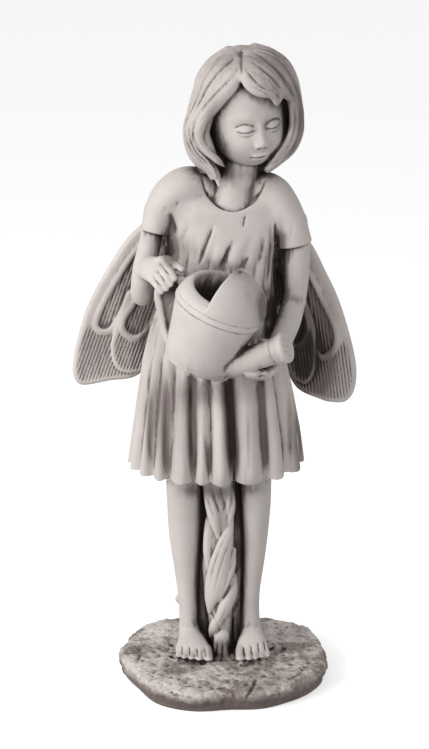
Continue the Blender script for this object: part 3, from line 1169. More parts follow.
# The gutter inside the neckline: its depth and width, the wash in it, and the heights and the
# distance to the side within which it lies
GUTTER_DEPTH = 1.1
GUTTER_WIDTH = 1.2
GUTTER_STAIN = 0.9
GUTTER_STAIN_WIDTH = 1.7
GUTTER_LEVEL = 462.0
GUTTER_RISE = 24.0
GUTTER_REACH = 36.0
# How many steps of the skin's edges the wash runs on past what the camera sees
SEEN_MARGIN = 7
# The wash in a carved line: how much wider than the line it lies and its strength at most
LINE_STAIN_SPREAD = 1.3
LINE_STAIN_MOST = 0.85
# Its strength for each unit of the line's depth, by what the line is carved on
LINE_STAIN = 0.23
SKIRT_STAIN = 0.36
LEAF_STAIN = 0.5
HAIR_STAIN = 0.2
# The even wash over all the hair
HAIR_WASH = 0.3

# Each wing's lobes and root, how its rows of stitches lean in degrees from upright to the right,
# and the height below which it's stitched right across
WINGS = ((-1, LEFT_LOBES, LEFT_ROOT, 20.0, 319.0), (1, RIGHT_LOBES, RIGHT_ROOT, -8.0, 303.0))
# Where the wings' stitches can lie: how far back, between which heights and how far to the side
WING_FRONT = 24.0
WING_LOW = 235.0
WING_HIGH = 440.0
WING_INNER = 22.0
# The stitches: the wash in them, the distance of their rows and the length of each
STITCH_STAIN = 0.3
STITCH_GAP = 3.1
STITCH_LENGTH = 2.6


def stitch_height(x, z, lean):
    """Height of the cuts that leave rows of short stitches down a wing; it's never above 0."""
    across = x * math.cos(lean) - z * math.sin(lean)
    down = x * math.sin(lean) + z * math.cos(lean)
    row = np.floor(across / STITCH_GAP)
    in_row = np.abs(np.sin(math.pi * across / STITCH_GAP))
    beat = 0.5 + 0.5 * np.cos(2 * math.pi * (down / STITCH_LENGTH + 0.37 * row))
    return -0.95 * (1 - in_row) ** 2 * 1.6 - 0.4 * (1 - in_row) * beat


def carve_wings(skin):
    """Rows of stitches in the wings' hollows and on their lower halves."""
    x, y, z = skin.points.T
    height = np.zeros(len(x))
    for side, lobes, root, lean, top in WINGS:
        near = np.flatnonzero((y > WING_FRONT) & (z > WING_LOW) & (z < WING_HIGH)
                              & (side * x > WING_INNER))
        places = skin.points[near][:, [0, 2]]
        off = np.abs(skin.points[near][:, 1] - wing_middle(places[:, 0]))
        owner = np.full(len(near), -1)
        best = np.full(len(near), FAR)
        kept = []
        for number, (outline, loop, forward) in enumerate(lobes):
            edge = smooth_path(outline, 120)
            loop = smooth_path(loop, 60)
            to_edge, to_loop = distance_to(places, edge), distance_to(places, loop, closed=True)
            within_lobe = inside(places, np.vstack([root, edge]))
            within_loop = inside(places, loop)
            relief = WING_RELIEF * wing_relief(to_edge, to_loop, within_loop)
            expected = M.wing_thickness / M.unit / 2 + relief + forward
            miss = np.where(within_lobe, np.abs(off - expected), FAR)
            owner = np.where(miss < best, number, owner)
            best = np.minimum(miss, best)
            kept.append((to_edge, to_loop, within_loop))
        rows = stitch_height(places[:, 0], places[:, 1], math.radians(lean))
        low = soft_step(top - places[:, 1], -5, 5)
        for number, (to_edge, to_loop, within_loop) in enumerate(kept):
            field = np.where(within_loop, soft_step(to_loop, 2.0, 4.5),
                             low * soft_step(to_loop, 3.4, 6) * soft_step(to_edge, 3, 7))
            mine = (owner == number) & (best < 4)
            height[near[mine]] = (rows * field)[mine]
            skin.stain[near[mine]] = STITCH_STAIN * field[mine]
    skin.raise_by(height)


# Lines round the can: height up from its foot in metres and depth
CAN_LINES = [(CAN_BAND_HEIGHT, 0.7), (CAN_BAND_HEIGHT + 0.0068, 0.7), (0.0042, 0.4)]
# Rings of holes in the rose: radius in metres and how many
ROSE_HOLES = [(0.0, 1), (0.0048, 5), (0.0095, 10)]
# Half width of these lines and holes, metres
LINE_HALF = 0.0009


def carve_can(skin):
    """The thin lines round the can, the seam of the spout and the holes in its rose."""
    metres = (skin.points - CAN_FOOT) * M.unit
    side, back, up = metres @ CAN_SIDE, metres @ CAN_BACK, metres @ CAN_AXIS
    height = np.zeros(len(side))
    out = np.hypot(side, back)
    body = (out < M.can_band_radius + 0.004) & (up > -0.001) & (up < M.can_height)
    taper = (M.can_band_radius - CAN_BOTTOM_RADIUS) * up / CAN_BAND_HEIGHT
    wall = body & (out > CAN_BOTTOM_RADIUS - 0.003) & (up < CAN_BAND_HEIGHT + 0.012)
    wall &= out > CAN_BOTTOM_RADIUS + taper - 0.003
    for line, depth in CAN_LINES:
        height -= np.where(wall, depth * np.exp(-((up - line) / LINE_HALF) ** 2), 0)
    local = np.stack([side, back, up], axis=1) - SPOUT_ROOT
    along = local @ SPOUT_WAY
    off_axis = local - along[:, None] * SPOUT_WAY
    radius = np.linalg.norm(off_axis, axis=1)
    spout = (radius < ROSE_RADIUS + 0.002) & (along > 0.02)
    height -= np.where(spout & (radius > 0.008),
                       0.7 * np.exp(-((along - M.spout_length + 0.0005) / 0.0008) ** 2), 0)
    tip = spout & (along > M.spout_length + ROSE_LENGTH - 0.002)
    cross = off_axis @ SPOUT_UP
    for ring, count in ROSE_HOLES:
        for turn in np.arange(count) * 2 * math.pi / count:
            away = np.hypot(cross - ring * math.cos(turn),
                            back - SPOUT_ROOT[1] - ring * math.sin(turn))
            height -= np.where(tip, 1.5 * np.exp(-(away / LINE_HALF) ** 2), 0)
    skin.raise_by(height)


def ground_height(x, y):
    """The base's own top, before it's roughened."""
    top = np.full(len(x), 1.0)
    for centre, radii in MOUNDS:
        inner = 1 - ((x - centre[0]) / radii[0]) ** 2 - ((y - centre[1]) / radii[1]) ** 2
        top = np.maximum(top, centre[2] + radii[2] * np.sqrt(np.clip(inner, 0, 1)))
    return top


# The pits in the rock, scattered by a fixed draw
PIT_COUNT = 420
PIT_SEED = 11
# Height below which the base is carved
BASE_REACH = 12.0


def rock_share(skin):
    x, y, z = skin.points.T
    return 1 - soft_step(z - ground_height(x, y), 1.0, 2.4)


def carve_base(skin):
    """Rough rock with ledges and pits on the base, down to just above its underside."""
    near = np.flatnonzero(skin.points[:, 2] < BASE_REACH)
    points = skin.points[near]
    rock = rock_share(skin)[near]
    low = -M.base_thickness / M.unit
    fade = rock * soft_step(points[:, 2], low + 0.5, low + 4)
    height = 3.0 * layered_noise(points, 32, 3) + 1.8 * layered_noise(points + 50, 9, 3) - 0.9
    height += 1.1 * layered_noise(points + 90, 4.5, 2) - 0.5
    draw = np.random.RandomState(PIT_SEED)
    for number in range(PIT_COUNT):
        turn, share, wide = draw.rand() * 2 * math.pi, draw.rand(), 0.8 + 1.8 * draw.rand() ** 2
        reach = 1.0 if number % 3 == 0 else 0.25 + 0.7 * share
        drop = low * (0.15 + 0.6 * share) if number % 3 == 0 else 0.5
        centre = np.array([BASE_CENTRE[0] + M.base_width / M.unit / 2 * reach * math.cos(turn),
                           BASE_CENTRE[1] + M.base_depth / M.unit / 2 * reach * math.sin(turn), drop])
        away = np.linalg.norm((points - centre) * (1, 1, 0.6), axis=1)
        height -= 1.1 * wide * np.exp(-(away / wide) ** 2)
    skin.raise_by(height * fade, near)


# Cuts in the face, as the middle's distance from its midline and height, half length, fall at the
# ends, half width, depth and wash: round the lids and the mouth
FACE_ARCS = [(14.2, -6.8, 7.6, -1.5, 1.0, 1.1, 0.85), (14.2, 0.9, 8.0, 2.8, 1.1, 0.7, 0.5),
             (14.2, -10.4, 6.6, -2.0, 1.3, 0.4, 0.3), (0.0, -33.2, 9.0, -0.5, 1.1, 1.2, 0.75)]
# Hollows in the face: place, half sizes, depth and wash. The last three hold wash alone
FACE_HOLLOWS = [(3.1, -23.2, 1.7, 1.2, 1.1, 0.9), (9.5, -32.8, 1.7, 1.5, 0.6, 0.6),
                (6.6, -5.8, 1.8, 1.7, 0.5, 0.6), (8.6, -20.6, 1.3, 2.8, 0.5, 0.45),
                (0.0, -39.8, 6.0, 2.0, 0.2, 0.3), (6.8, -1.0, 3.5, 5.0, 0.0, 0.35),
                (14.0, -13.0, 7.0, 3.0, 0.0, 0.12), (31.0, -10.0, 4.0, 24.0, 0.0, 0.12)]
# How far the face reaches from the head's centre
FACE_REACH = 70.0


def carve_face(skin):
    """Lids, nostrils and mouth, with the wash that lies in them."""
    near = np.flatnonzero(((skin.points - HEAD_CENTRE) ** 2).sum(axis=1) < FACE_REACH ** 2)
    local = (skin.points[near] - HEAD_CENTRE) @ HEAD_TURN
    skin_share = np.where(local[:, 1] < -12, 1 - hair_share(skin.points[near]), 0)
    side, z = np.abs(local[:, 0]), local[:, 2]
    height, wash = np.zeros(len(near)), np.zeros(len(near))
    for marks, form in ((FACE_ARCS, arc), (FACE_HOLLOWS, bump)):
        for *place, depth, stain in marks:
            shape = form(side, z, *place)
            height -= depth * shape
            wash = np.maximum(wash, stain * shape)
    skin.stain[near] += wash * skin_share
    skin.raise_by(height * skin_share, near)


# The strands in the hair: width and depth of the broad and the fine ones
STRAND_GAPS = ((6.2, 0.5), (2.9, 0.22))
# How far a lock's strands reach from its middle, in the lock's own half widths
STRAND_REACH = 1.7
# Where the parting lies, which has no strands across it, and its half width
PARTING_X = 18.0
PARTING_HALF = 7.0
# How many places are matched with the locks at a time
BLOCK_SIZE = 8000


def carve_strands(skin):
    """Fine strands in the hair, each following the lock it lies nearest to."""
    share = hair_share(skin.points)
    near = np.flatnonzero(share > 0)
    points = skin.points[near]
    centres, sides, halves, phases = [], [], [], []
    for number, stations in enumerate(all_locks()):
        rows = smooth_path(stations, 40)
        centres.append(rows[:, :3])
        sides.append(section_axes(rows[:, :3], unit(rows[:, :3] - HEAD_CENTRE))[0])
        halves.append(np.maximum(rows[:, 3:5].mean(axis=1), 3.0))
        phases.append(0.8 * number + 0.5 * np.sin(np.linspace(0, 5, 40) + number))
    centres, sides = np.vstack(centres), np.vstack(sides)
    halves, phases = np.concatenate(halves), np.concatenate(phases)
    nearest = np.empty(len(near), dtype=int)
    distance = np.empty(len(near))
    for start in range(0, len(near), BLOCK_SIZE):
        chosen = slice(start, start + BLOCK_SIZE)
        block = points[chosen]
        square = ((block ** 2).sum(axis=1)[:, None] - 2 * block @ centres.T
                  + (centres ** 2).sum(axis=1)[None]) / halves ** 2
        nearest[chosen] = square.argmin(axis=1)
        distance[chosen] = square.min(axis=1)
    across = ((points - centres[nearest]) * sides[nearest]).sum(axis=1)
    height = np.zeros(len(near))
    for gap, depth in STRAND_GAPS:
        height -= depth * (1 - np.abs(np.sin(math.pi * across / gap + phases[nearest]))) ** 1.4
    parting = (np.exp(-((points[:, 0] - PARTING_X) / PARTING_HALF) ** 2)
               * soft_step(-points[:, 1], 0, 20) * soft_step(points[:, 2], 548, 566))
    reached = soft_step(STRAND_REACH ** 2 - distance, 0, 0.8)
    skin.raise_by(height * share[near] * reached * (1 - parting), near)


# The masks that the material reads

# Steps and weights at which grooves show in the fine skin, and folds in the thinned one
GROOVE_SCALES = ((3, 0.8), (12, 0.5))
FOLD_SCALES = ((10, 0.22), (40, 0.10))
# The rays cast for the hollows: how many, how far they reach and start from the skin, metres,
# and how squarely a place has to face one
RAY_COUNT = 42
RAY_REACH = 0.055
RAY_START = 0.0012
RAY_FACING = 0.15


def relief_mask(skin, scales, last_steps=0):
    """0.5 where the skin is flat at these scales, more in valleys and less on ridges."""
    normals = skin.normals()
    total = np.full(len(normals), 0.5)
    mean, done = skin.points, 0
    for steps, weight in scales:
        mean = skin.blur(mean, steps - done)
        done = steps
        total += weight * ((mean - skin.points) * normals).sum(axis=1)
    return np.clip(skin.blur(total, last_steps), 0, 1)


def hollow_mask(mesh):
    """How much of what a place faces is stone close by: 0 in the open, 1 deep inside."""
    points = read_rows(mesh.vertices, "co", 3)
    normals = read_rows(mesh.vertex_normals, "vector", 3)
    corners = read_rows(mesh.polygons, "vertices", 3, np.int64)
    tree = BVHTree.FromPolygons(points.tolist(), corners.tolist(), all_triangles=True)
    number = np.arange(RAY_COUNT) + 0.5
    tilt, turn = np.arccos(1 - 2 * number / RAY_COUNT), math.pi * (1 + 5 ** 0.5) * number
    ways = np.stack([np.sin(tilt) * np.cos(turn), np.sin(tilt) * np.sin(turn), np.cos(tilt)], axis=1)
    facing = normals @ ways.T
    starts = points + RAY_START * normals
    blocked = np.zeros(len(points))
    cast = tree.ray_cast
    for k, way in enumerate(ways):
        direction = Vector(way)
        chosen = np.flatnonzero(facing[:, k] > RAY_FACING)
        gap = np.array([cast(Vector(start), direction, RAY_REACH)[3] or RAY_REACH
                        for start in starts[chosen].tolist()])
        blocked[chosen] += facing[chosen, k] * (1 - gap / RAY_REACH) ** 0.5
    return blocked / np.maximum(np.where(facing > RAY_FACING, facing, 0).sum(axis=1), 1e-6)


def set_mask(mesh, name, values):
    attribute = mesh.attributes.new(name, "FLOAT", "POINT")
    attribute.data.foreach_set("value", values.astype(np.float32))


# The stone's look

# How fine the grain is on the figure and on the rock
STONE_GRAIN = 900.0
ROCK_GRAIN = 380.0
# The height up to which the base's edge is dark, and over which this fades, metres
DAMP_TOP = 0.018
DAMP_FADE = 0.009


def add_node(tree, kind, **inputs):
    """A node with its plain inputs set by name, spaces written as underscores."""
    node = tree.nodes.new(kind)
    for name, value in inputs.items():
        node.inputs[name.replace("_", " ")].default_value = value
    return node


def new_group(name, inputs, outputs):
    """An empty shader node group with the given sockets, and its input and output nodes."""
    group = bpy.data.node_groups.new(name, "ShaderNodeTree")
    for socket, kind, value in inputs:
        made = group.interface.new_socket(socket, in_out="INPUT", socket_type=kind)
        if value is not None:
            made.default_value = value
    for socket, kind in outputs:
        group.interface.new_socket(socket, in_out="OUTPUT", socket_type=kind)
    return group, group.nodes.new("NodeGroupInput"), group.nodes.new("NodeGroupOutput")


def give(tree, socket, value):
    """Link a socket to another one, or set it to a plain value."""
    if isinstance(value, bpy.types.NodeSocket):
        tree.links.new(value, socket)
    else:
        socket.default_value = value


def math_node(tree, kind, *values, clamp=False):
    """A Math node with sockets or numbers as its inputs."""
    node = tree.nodes.new("ShaderNodeMath")
    node.operation = kind
    node.use_clamp = clamp
    for socket, value in zip(node.inputs, values):
        give(tree, socket, value)
    return node.outputs[0]


def ramp_node(tree, value, low, high, top=1.0):
    """0 where the value is below low, top above high, with a smooth rise."""
    node = tree.nodes.new("ShaderNodeMapRange")
    node.interpolation_type = "SMOOTHSTEP"
    tree.links.new(value, node.inputs["Value"])
    node.inputs["From Min"].default_value = low
    node.inputs["From Max"].default_value = high
    node.inputs["To Max"].default_value = top
    return node.outputs["Result"]


def noise_node(tree, vector, scale, detail=4.0, roughness=0.55):
    node = add_node(tree, "ShaderNodeTexNoise", Scale=scale, Detail=detail, Roughness=roughness)
    tree.links.new(vector, node.inputs["Vector"])
    return node.outputs["Fac"]


def mix_colour(tree, share, one, two):
    """One colour turning into another by a share, each a socket or a plain colour."""
    node = tree.nodes.new("ShaderNodeMix")
    node.data_type = "RGBA"
    for number, value in ((0, share), (6, one), (7, two)):
        give(tree, node.inputs[number], value)
    return node.outputs[2]


def grain_group():
    """Fine cast grain: its height for a bump, and light and dark speckle."""
    group, given, made = new_group("stone_grain", [("Vector", "NodeSocketVector", None),
                                                   ("Scale", "NodeSocketFloat", 300.0)],
                                   [("Height", "NodeSocketFloat"), ("Speckle", "NodeSocketFloat")])
    fine = add_node(group, "ShaderNodeTexNoise", Detail=5.0, Roughness=0.65)
    group.links.new(given.outputs["Vector"], fine.inputs["Vector"])
    group.links.new(given.outputs["Scale"], fine.inputs["Scale"])
    cells = add_node(group, "ShaderNodeTexVoronoi")
    group.links.new(given.outputs["Vector"], cells.inputs["Vector"])
    group.links.new(math_node(group, "MULTIPLY", given.outputs["Scale"], 0.6), cells.inputs["Scale"])
    holes = ramp_node(group, cells.outputs["Distance"], 0.05, 0.3)
    height = math_node(group, "ADD", math_node(group, "MULTIPLY", holes, 0.35), fine.outputs["Fac"])
    group.links.new(height, made.inputs["Height"])
    group.links.new(ramp_node(group, fine.outputs["Fac"], 0.42, 0.62), made.inputs["Speckle"])
    return group


def weathering_group():
    """Where the brown wash has stayed and where the stone is rubbed bare."""
    group, given, made = new_group(
        "stone_wash", [("Vector", "NodeSocketVector", None), ("Groove", "NodeSocketFloat", 0.5),
                       ("Fold", "NodeSocketFloat", 0.5), ("Hollow", "NodeSocketFloat", 0.0),
                       ("Stain", "NodeSocketFloat", 0.0)],
        [("Wash", "NodeSocketFloat"), ("Deep", "NodeSocketFloat"), ("Rubbed", "NodeSocketFloat")])
    vector, groove, fold, hollow, stain = (
        given.outputs[name] for name in ("Vector", "Groove", "Fold", "Hollow", "Stain"))
    patches = math_node(group, "MULTIPLY_ADD", noise_node(group, vector, 45.0), 0.16, -0.08)
    ragged = math_node(group, "MULTIPLY_ADD", noise_node(group, vector, 380.0), 0.08, -0.04)
    uneven = math_node(group, "ADD", patches, ragged)
    upright = add_node(group, "ShaderNodeMapping", Scale=(1.0, 1.0, 0.1))
    group.links.new(vector, upright.inputs["Vector"])
    streaks = noise_node(group, upright.outputs[0], 260.0, 3.0)
    streaks = math_node(group, "MULTIPLY_ADD", streaks, 0.34, -0.17)
    uneven = math_node(group, "ADD", uneven, streaks)

    def kept_in(mask, low, high, strength):
        level = ramp_node(group, math_node(group, "ADD", mask, uneven), low, high)
        return math_node(group, "MULTIPLY", level, strength)

    total = kept_in(groove, 0.54, 0.90, 0.75)
    for mask, low, high, strength in ((fold, 0.51, 0.86, 0.85), (hollow, 0.13, 0.66, 0.95),
                                      (stain, 0.02, 1.05, 0.95)):
        total = math_node(group, "ADD", total, kept_in(mask, low, high, strength), clamp=True)
    group.links.new(total, made.inputs["Wash"])
    deepest = math_node(group, "ADD", math_node(group, "MULTIPLY", groove, 0.5), hollow)
    deepest = math_node(group, "ADD", deepest, math_node(group, "MULTIPLY", fold, 0.4))
    soaked = math_node(group, "MULTIPLY", math_node(group, "SUBTRACT", stain, 0.9, clamp=True), 0.7)
    deepest = math_node(group, "ADD", deepest, soaked)
    group.links.new(ramp_node(group, deepest, 0.84, 1.20), made.inputs["Deep"])
    bare = math_node(group, "SUBTRACT", 1.0, math_node(group, "SUBTRACT", groove, uneven))
    group.links.new(ramp_node(group, bare, 0.56, 0.82), made.inputs["Rubbed"])
    return group


def attribute_node(tree, name):
    node = tree.nodes.new("ShaderNodeAttribute")
    node.attribute_name = name
    return node.outputs["Fac"]


def stone_material(settings):
    """Weathered cast stone: pale and rubbed where it stands out, brown where the wash has stayed."""
    material = bpy.data.materials.new("weathered_cast_stone")
    material.use_nodes = True
    tree = material.node_tree
    shader = tree.nodes["Principled BSDF"]
    place = tree.nodes.new("ShaderNodeTexCoord").outputs["Object"]
    groove, fold, hollow, stain, rock = (
        attribute_node(tree, name) for name in ("groove", "fold", "hollow", "stain", "rock"))

    wash = tree.nodes.new("ShaderNodeGroup")
    wash.node_tree = weathering_group()
    for socket, value in (("Vector", place), ("Groove", groove), ("Fold", fold), ("Hollow", hollow),
                          ("Stain", stain)):
        tree.links.new(value, wash.inputs[socket])
    smooth_grain, rock_grain = (tree.nodes.new("ShaderNodeGroup") for _ in range(2))
    smooth_grain.node_tree = grain_group()
    rock_grain.node_tree = smooth_grain.node_tree
    for node, scale in ((smooth_grain, STONE_GRAIN), (rock_grain, ROCK_GRAIN)):
        tree.links.new(place, node.inputs["Vector"])
        node.inputs["Scale"].default_value = scale

    mottle = ramp_node(tree, noise_node(tree, place, 38.0, 5.0), 0.35, 0.68)
    figure = mix_colour(tree, math_node(tree, "MULTIPLY", mottle, 0.35), settings.stone_colour,
                        settings.stone_shade)
    figure = mix_colour(tree, math_node(tree, "MULTIPLY", wash.outputs["Rubbed"], 0.5), figure,
                        settings.rubbed_colour)
    patchy = ramp_node(tree, noise_node(tree, place, 30.0, 7.0, 0.66), 0.43, 0.62)
    ground = mix_colour(tree, patchy, settings.rock_colour, settings.rock_shade)
    ground = mix_colour(tree, math_node(tree, "MULTIPLY", wash.outputs["Rubbed"], 0.5), ground,
                        settings.stone_colour)
    ground = mix_colour(tree, math_node(tree, "MULTIPLY", rock_grain.outputs["Speckle"], 0.3), ground,
                        settings.wash_colour)
    height_up = tree.nodes.new("ShaderNodeSeparateXYZ")
    tree.links.new(place, height_up.inputs[0])
    damp = ramp_node(tree, math_node(tree, "SUBTRACT", DAMP_TOP, height_up.outputs["Z"]), 0.0,
                     DAMP_FADE, 0.95)
    ground = mix_colour(tree, damp, ground, settings.wash_colour)
    bare = mix_colour(tree, rock, figure, ground)
    washed = mix_colour(tree, math_node(tree, "MULTIPLY", wash.outputs["Wash"], settings.wash_strength),
                        bare, settings.wash_colour)
    deep = mix_colour(tree, math_node(tree, "MULTIPLY", wash.outputs["Deep"], 0.92), washed,
                      settings.deep_colour)
    tree.links.new(deep, shader.inputs["Base Color"])

    dull = math_node(tree, "MULTIPLY_ADD", wash.outputs["Wash"], 0.12, 0.72)
    tree.links.new(dull, shader.inputs["Roughness"])
    shader.inputs["Specular IOR Level"].default_value = 0.35

    height = tree.nodes.new("ShaderNodeMix")
    tree.links.new(rock, height.inputs[0])
    tree.links.new(smooth_grain.outputs["Height"], height.inputs[2])
    tree.links.new(math_node(tree, "MULTIPLY", rock_grain.outputs["Height"], 5.0), height.inputs[3])
    bump = add_node(tree, "ShaderNodeBump", Strength=0.5, Distance=0.00022)
    tree.links.new(height.outputs[0], bump.inputs["Height"])
    tree.links.new(bump.outputs["Normal"], shader.inputs["Normal"])
    return material


def plain_material(name, colour, glow):
    material = bpy.data.materials.new(name)
    material.use_nodes = True
    shader = material.node_tree.nodes["Principled BSDF"]
    shader.inputs["Base Color"].default_value = colour
    shader.inputs["Roughness"].default_value = 0.9
    shader.inputs["Specular IOR Level"].default_value = 0.1
    shader.inputs["Emission Color"].default_value = colour
    shader.inputs["Emission Strength"].default_value = glow
    return material


# Building

def joined_mesh(name):
    """All forms in one mesh, in metres."""
    points = []
    faces = []
    offset = 0
    for form_points, form_faces in forms:
        points.append(to_metres(form_points))
        faces += [tuple(corner + offset for corner in face) for face in form_faces]
        offset += len(form_points)
    mesh = bpy.data.meshes.new(name)
    mesh.from_pydata(np.vstack(points).tolist(), [], faces)
    return mesh


def carry_out(piece, kind, **settings):
    """Carry out one modifier on the piece and keep the mesh that comes of it."""
    modifier = piece.modifiers.new("step", kind)
    for name, value in settings.items():
        setattr(modifier, name, value)
    graph = bpy.context.evaluated_depsgraph_get()
    made = bpy.data.meshes.new_from_object(piece.evaluated_get(graph))
    piece.modifiers.clear()
    before = piece.data
    name = before.name
    piece.data = made
    bpy.data.meshes.remove(before)
    made.name = name


def only_select(piece):
    bpy.ops.object.select_all(action="DESELECT")
    piece.select_set(True)
    bpy.context.view_layer.objects.active = piece


def cut_flat(piece):
    """Cut away what lies under the ground plane and close the cut with one flat face."""
    work = bmesh.new()
    work.from_mesh(piece.data)
    geometry = work.verts[:] + work.edges[:] + work.faces[:]
    bmesh.ops.bisect_plane(work, geom=geometry, dist=1e-6, plane_co=(0, 0, 0), plane_no=(0, 0, 1),
                           clear_inner=True)
    rim = [edge for edge in work.edges if edge.is_boundary]
    bmesh.ops.contextual_create(work, geom=rim)
    bmesh.ops.triangulate(work, faces=work.faces[:])
    bmesh.ops.recalc_face_normals(work, faces=work.faces[:])
    work.to_mesh(piece.data)
    work.free()


def build_forms():
    """All forms anew, in the order in which they're joined."""
    forms.clear()
    for add in (add_base, add_trunk, add_legs, add_feet, add_dress, add_sleeves, add_torso_skin,
                add_arms, add_wings, add_head, add_hair, add_can_body, add_can_hood,
                add_can_handle, add_can_spout, add_hand_on_handle, add_hand_under_spout):
        add()


def length(name, description, default, low, high):
    """A length that the panel shows, in metres."""
    return bpy.props.FloatProperty(name=name, description=description, default=default, min=low,
                                   max=high, unit="LENGTH")


def colour(name, description, red, green, blue):
    """A colour that the panel shows."""
    return bpy.props.FloatVectorProperty(
        name=name, description=description, default=(red, green, blue, 1.0), size=4, min=0.0,
        max=1.0, subtype="COLOR")


def watts(name, description, default):
    """A light's power that the panel shows, in watts."""
    return bpy.props.FloatProperty(name=name, description=description, default=default, min=0.0,
                                   max=500.0, unit="POWER")


class StatueSettings(bpy.types.PropertyGroup):
    """Sizes and colours of the statue."""

    figure_height: length("Figure height", "From the soles to the crown", 0.598, 0.2, 2.0)
    base_thickness: length("Base thickness", "From the ground to the soles", 0.022, 0.005, 0.1)
    base_width: length("Base width", "The rock base from side to side", 0.207, 0.05, 1.0)
    base_depth: length("Base depth", "The rock base from front to back", 0.216, 0.05, 1.0)
    wing_thickness: length("Wing thickness", "The wings away from their relief", 0.011, 0.004, 0.03)
    can_height: length("Can height", "The can from its foot to its front rim", 0.0735, 0.02, 0.2)
    can_band_radius: length("Can radius", "The can at its band", 0.0411, 0.01, 0.1)
    spout_length: length("Spout length", "The spout without its rose", 0.055, 0.02, 0.2)
    skin_grid: length("Skin grid", "Cell size of the fine skin over all forms", 0.00085, 0.0005,
                      0.005)
    triangle_target: bpy.props.IntProperty(
        name="Triangles", description="Triangles left after thinning", default=192000, min=5000,
        max=198000)
    wash_strength: bpy.props.FloatProperty(
        name="Wash strength", description="How strongly the brown wash covers the stone",
        default=0.9, min=0.0, max=1.0, subtype="FACTOR")
    stone_colour: colour("Stone", "The pale stone", 0.60, 0.55, 0.525)
    stone_shade: colour("Stone shade", "Slightly darker clouds in the stone", 0.48, 0.43, 0.405)
    rubbed_colour: colour("Rubbed stone", "Edges where the finish is rubbed away", 0.70, 0.65,
                          0.625)
    wash_colour: colour("Wash", "The brown wash in the grooves", 0.125, 0.094, 0.088)
    deep_colour: colour("Deep wash", "The wash in the deepest places", 0.020, 0.014, 0.013)
    rock_colour: colour("Rock", "The base's stone", 0.67, 0.605, 0.57)
    rock_shade: colour("Rock shade", "Darker patches on the base", 0.24, 0.20, 0.18)


class StageSettings(bpy.types.PropertyGroup):
    """The floor, the lights and the view."""

    floor_size: length("Floor size", "Side of the square floor", 60.0, 2.0, 200.0)
    floor_colour: colour("Floor", "The pale floor", 0.9, 0.9, 0.9)
    floor_glow: bpy.props.FloatProperty(
        name="Floor glow", description="How much light the pale floor gives off", default=0.52,
        min=0.0, max=2.0)
    key_power: watts("Main light", "Power of the light on the left in front", 21.5)
    side_power: watts("Side light", "Power of the light on the left", 24.0)
    front_power: watts("Front light", "Power of the weak light in front", 9.0)
    room_light: bpy.props.FloatProperty(
        name="Room light", description="Strength of the light from all round", default=0.5,
        min=0.0, max=5.0)


class GARDEN_OT_cast_statue(bpy.types.Operator):
    """Build, carve and weather the statue"""

    bl_idname = "garden.cast_statue"
    bl_label = "Cast the statue"

    def execute(self, context):
        settings = context.scene.statue_settings
        M.read(settings)
        build_forms()
        piece = bpy.data.objects.new("fairy_garden_statue", joined_mesh("fairy_garden_statue"))
        context.scene.collection.objects.link(piece)
        carry_out(piece, "REMESH", mode="VOXEL", voxel_size=settings.skin_grid)
        skin = Skin(piece.data)
        soften(skin)
        carve_face(skin)
        carve_base(skin)
        carve_wings(skin)
        carve_can(skin)
        carve_strands(skin)
        for lines, stain in ((HAIR_LINES, HAIR_STAIN), (LEAF_LINES, LEAF_STAIN),
                             (SKIRT_LINES, SKIRT_STAIN), (FRONT_LINES, LINE_STAIN)):
            carve_lines(skin, lines, stain)
        lay_wash(skin)
        skin.store()
        masks = {"groove": relief_mask(skin, GROOVE_SCALES), "rock": rock_share(skin),
                 "stain": skin.stain}
        tree = KDTree(len(skin.points))
        for number, vertex in enumerate(piece.data.vertices):
            tree.insert(vertex.co, number)
        tree.balance()

        carry_out(piece, "DECIMATE",
                  ratio=settings.triangle_target / (2.0 * len(piece.data.polygons)))
        cut_flat(piece)
        mesh = piece.data
        nearest = np.array([tree.find(vertex.co)[1] for vertex in mesh.vertices])
        for name, values in masks.items():
            set_mask(mesh, name, values[nearest])
        set_mask(mesh, "fold", relief_mask(Skin(mesh), FOLD_SCALES, 2))
        set_mask(mesh, "hollow", hollow_mask(mesh))
        mesh.materials.clear()
        mesh.materials.append(stone_material(settings))
        only_select(piece)
        bpy.ops.object.shade_smooth()
        if len(mesh.polygons) >= MOST_TRIANGLES:
            raise RuntimeError("the statue has too many triangles")
        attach(piece, "root")
        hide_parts(STATUE)
        return {"FINISHED"}


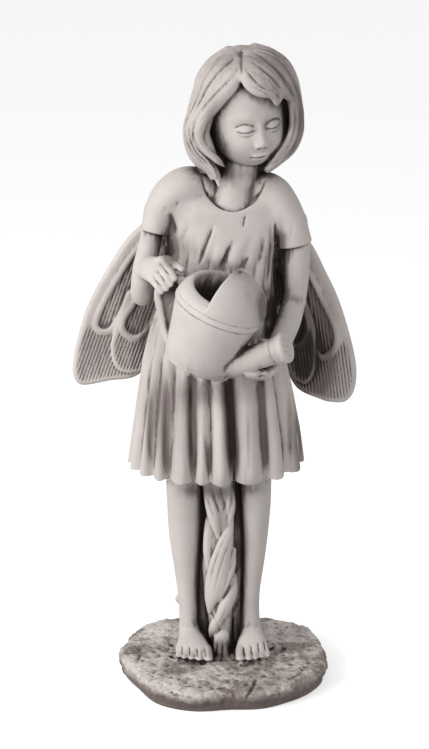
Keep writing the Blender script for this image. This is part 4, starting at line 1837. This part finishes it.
class GARDEN_OT_build_stage(bpy.types.Operator):
    """Add the floor, the lights and the camera"""

    bl_idname = "garden.build_stage"
    bl_label = "Build the stage"

    def add_light(self, scene, name, place, power, size):
        lamp = bpy.data.lights.new(name, "AREA")
        lamp.energy = power
        lamp.size = size
        light = bpy.data.objects.new(name, lamp)
        light.location = place
        light.rotation_euler = (Vector((0, 0, 0.3)) - Vector(place)).to_track_quat("-Z", "Y").to_euler()
        scene.collection.objects.link(light)

    def execute(self, context):
        scene = context.scene
        settings = scene.stage_settings
        bpy.ops.object.select_all(action="DESELECT")
        bpy.ops.mesh.primitive_plane_add(size=settings.floor_size, location=(0, 0, 0))
        floor = context.active_object
        floor.name = "floor"
        floor.data.materials.append(
            plain_material("pale_floor", settings.floor_colour, settings.floor_glow))
        floor.visible_diffuse = False

        self.add_light(scene, "side_light", (-2.18, -0.58, 1.17), settings.side_power, 0.9)
        self.add_light(scene, "main_light", (-1.60, -1.60, 1.17), settings.key_power, 0.9)
        self.add_light(scene, "front_light", (0.38, -2.14, 1.37), settings.front_power, 1.0)
        world = bpy.data.worlds.new("room")
        world.use_nodes = True
        world.node_tree.nodes["Background"].inputs["Color"].default_value = (1, 1, 1, 1)
        world.node_tree.nodes["Background"].inputs["Strength"].default_value = settings.room_light
        scene.world = world
        scene.view_settings.view_transform = "Standard"

        lens = bpy.data.cameras.new("camera")
        lens.sensor_width = 36.0
        lens.lens = FOCAL_PIXELS / FRAME_HEIGHT * lens.sensor_width
        camera = bpy.data.objects.new("camera", lens)
        camera.location = CAMERA_PLACE
        camera.rotation_euler = (math.radians(90 - CAMERA_PITCH), 0, 0)
        scene.collection.objects.link(camera)
        scene.camera = camera
        return {"FINISHED"}


class GARDEN_PT_statue(bpy.types.Panel):
    """Settings of the statue and its stage"""

    bl_idname = "GARDEN_PT_statue"
    bl_label = "Fairy garden statue"
    bl_space_type = "VIEW_3D"
    bl_region_type = "UI"
    bl_category = "Statue"

    def draw(self, context):
        for settings, operator in ((context.scene.statue_settings, GARDEN_OT_cast_statue),
                                   (context.scene.stage_settings, GARDEN_OT_build_stage)):
            box = self.layout.box()
            for name in settings.__annotations__:
                box.prop(settings, name)
            box.operator(operator.bl_idname)


CLASSES = (StatueSettings, StageSettings, GARDEN_OT_cast_statue, GARDEN_OT_build_stage,
           GARDEN_PT_statue)


def register():
    for entry in CLASSES:
        bpy.utils.register_class(entry)
    bpy.types.Scene.statue_settings = bpy.props.PointerProperty(type=StatueSettings)
    bpy.types.Scene.stage_settings = bpy.props.PointerProperty(type=StageSettings)


def unregister():
    del bpy.types.Scene.stage_settings
    del bpy.types.Scene.statue_settings
    for entry in reversed(CLASSES):
        bpy.utils.unregister_class(entry)


def main():
    register()
    bpy.ops.garden.cast_statue()
    bpy.ops.garden.build_stage()


if __name__ == "__main__":
    main()
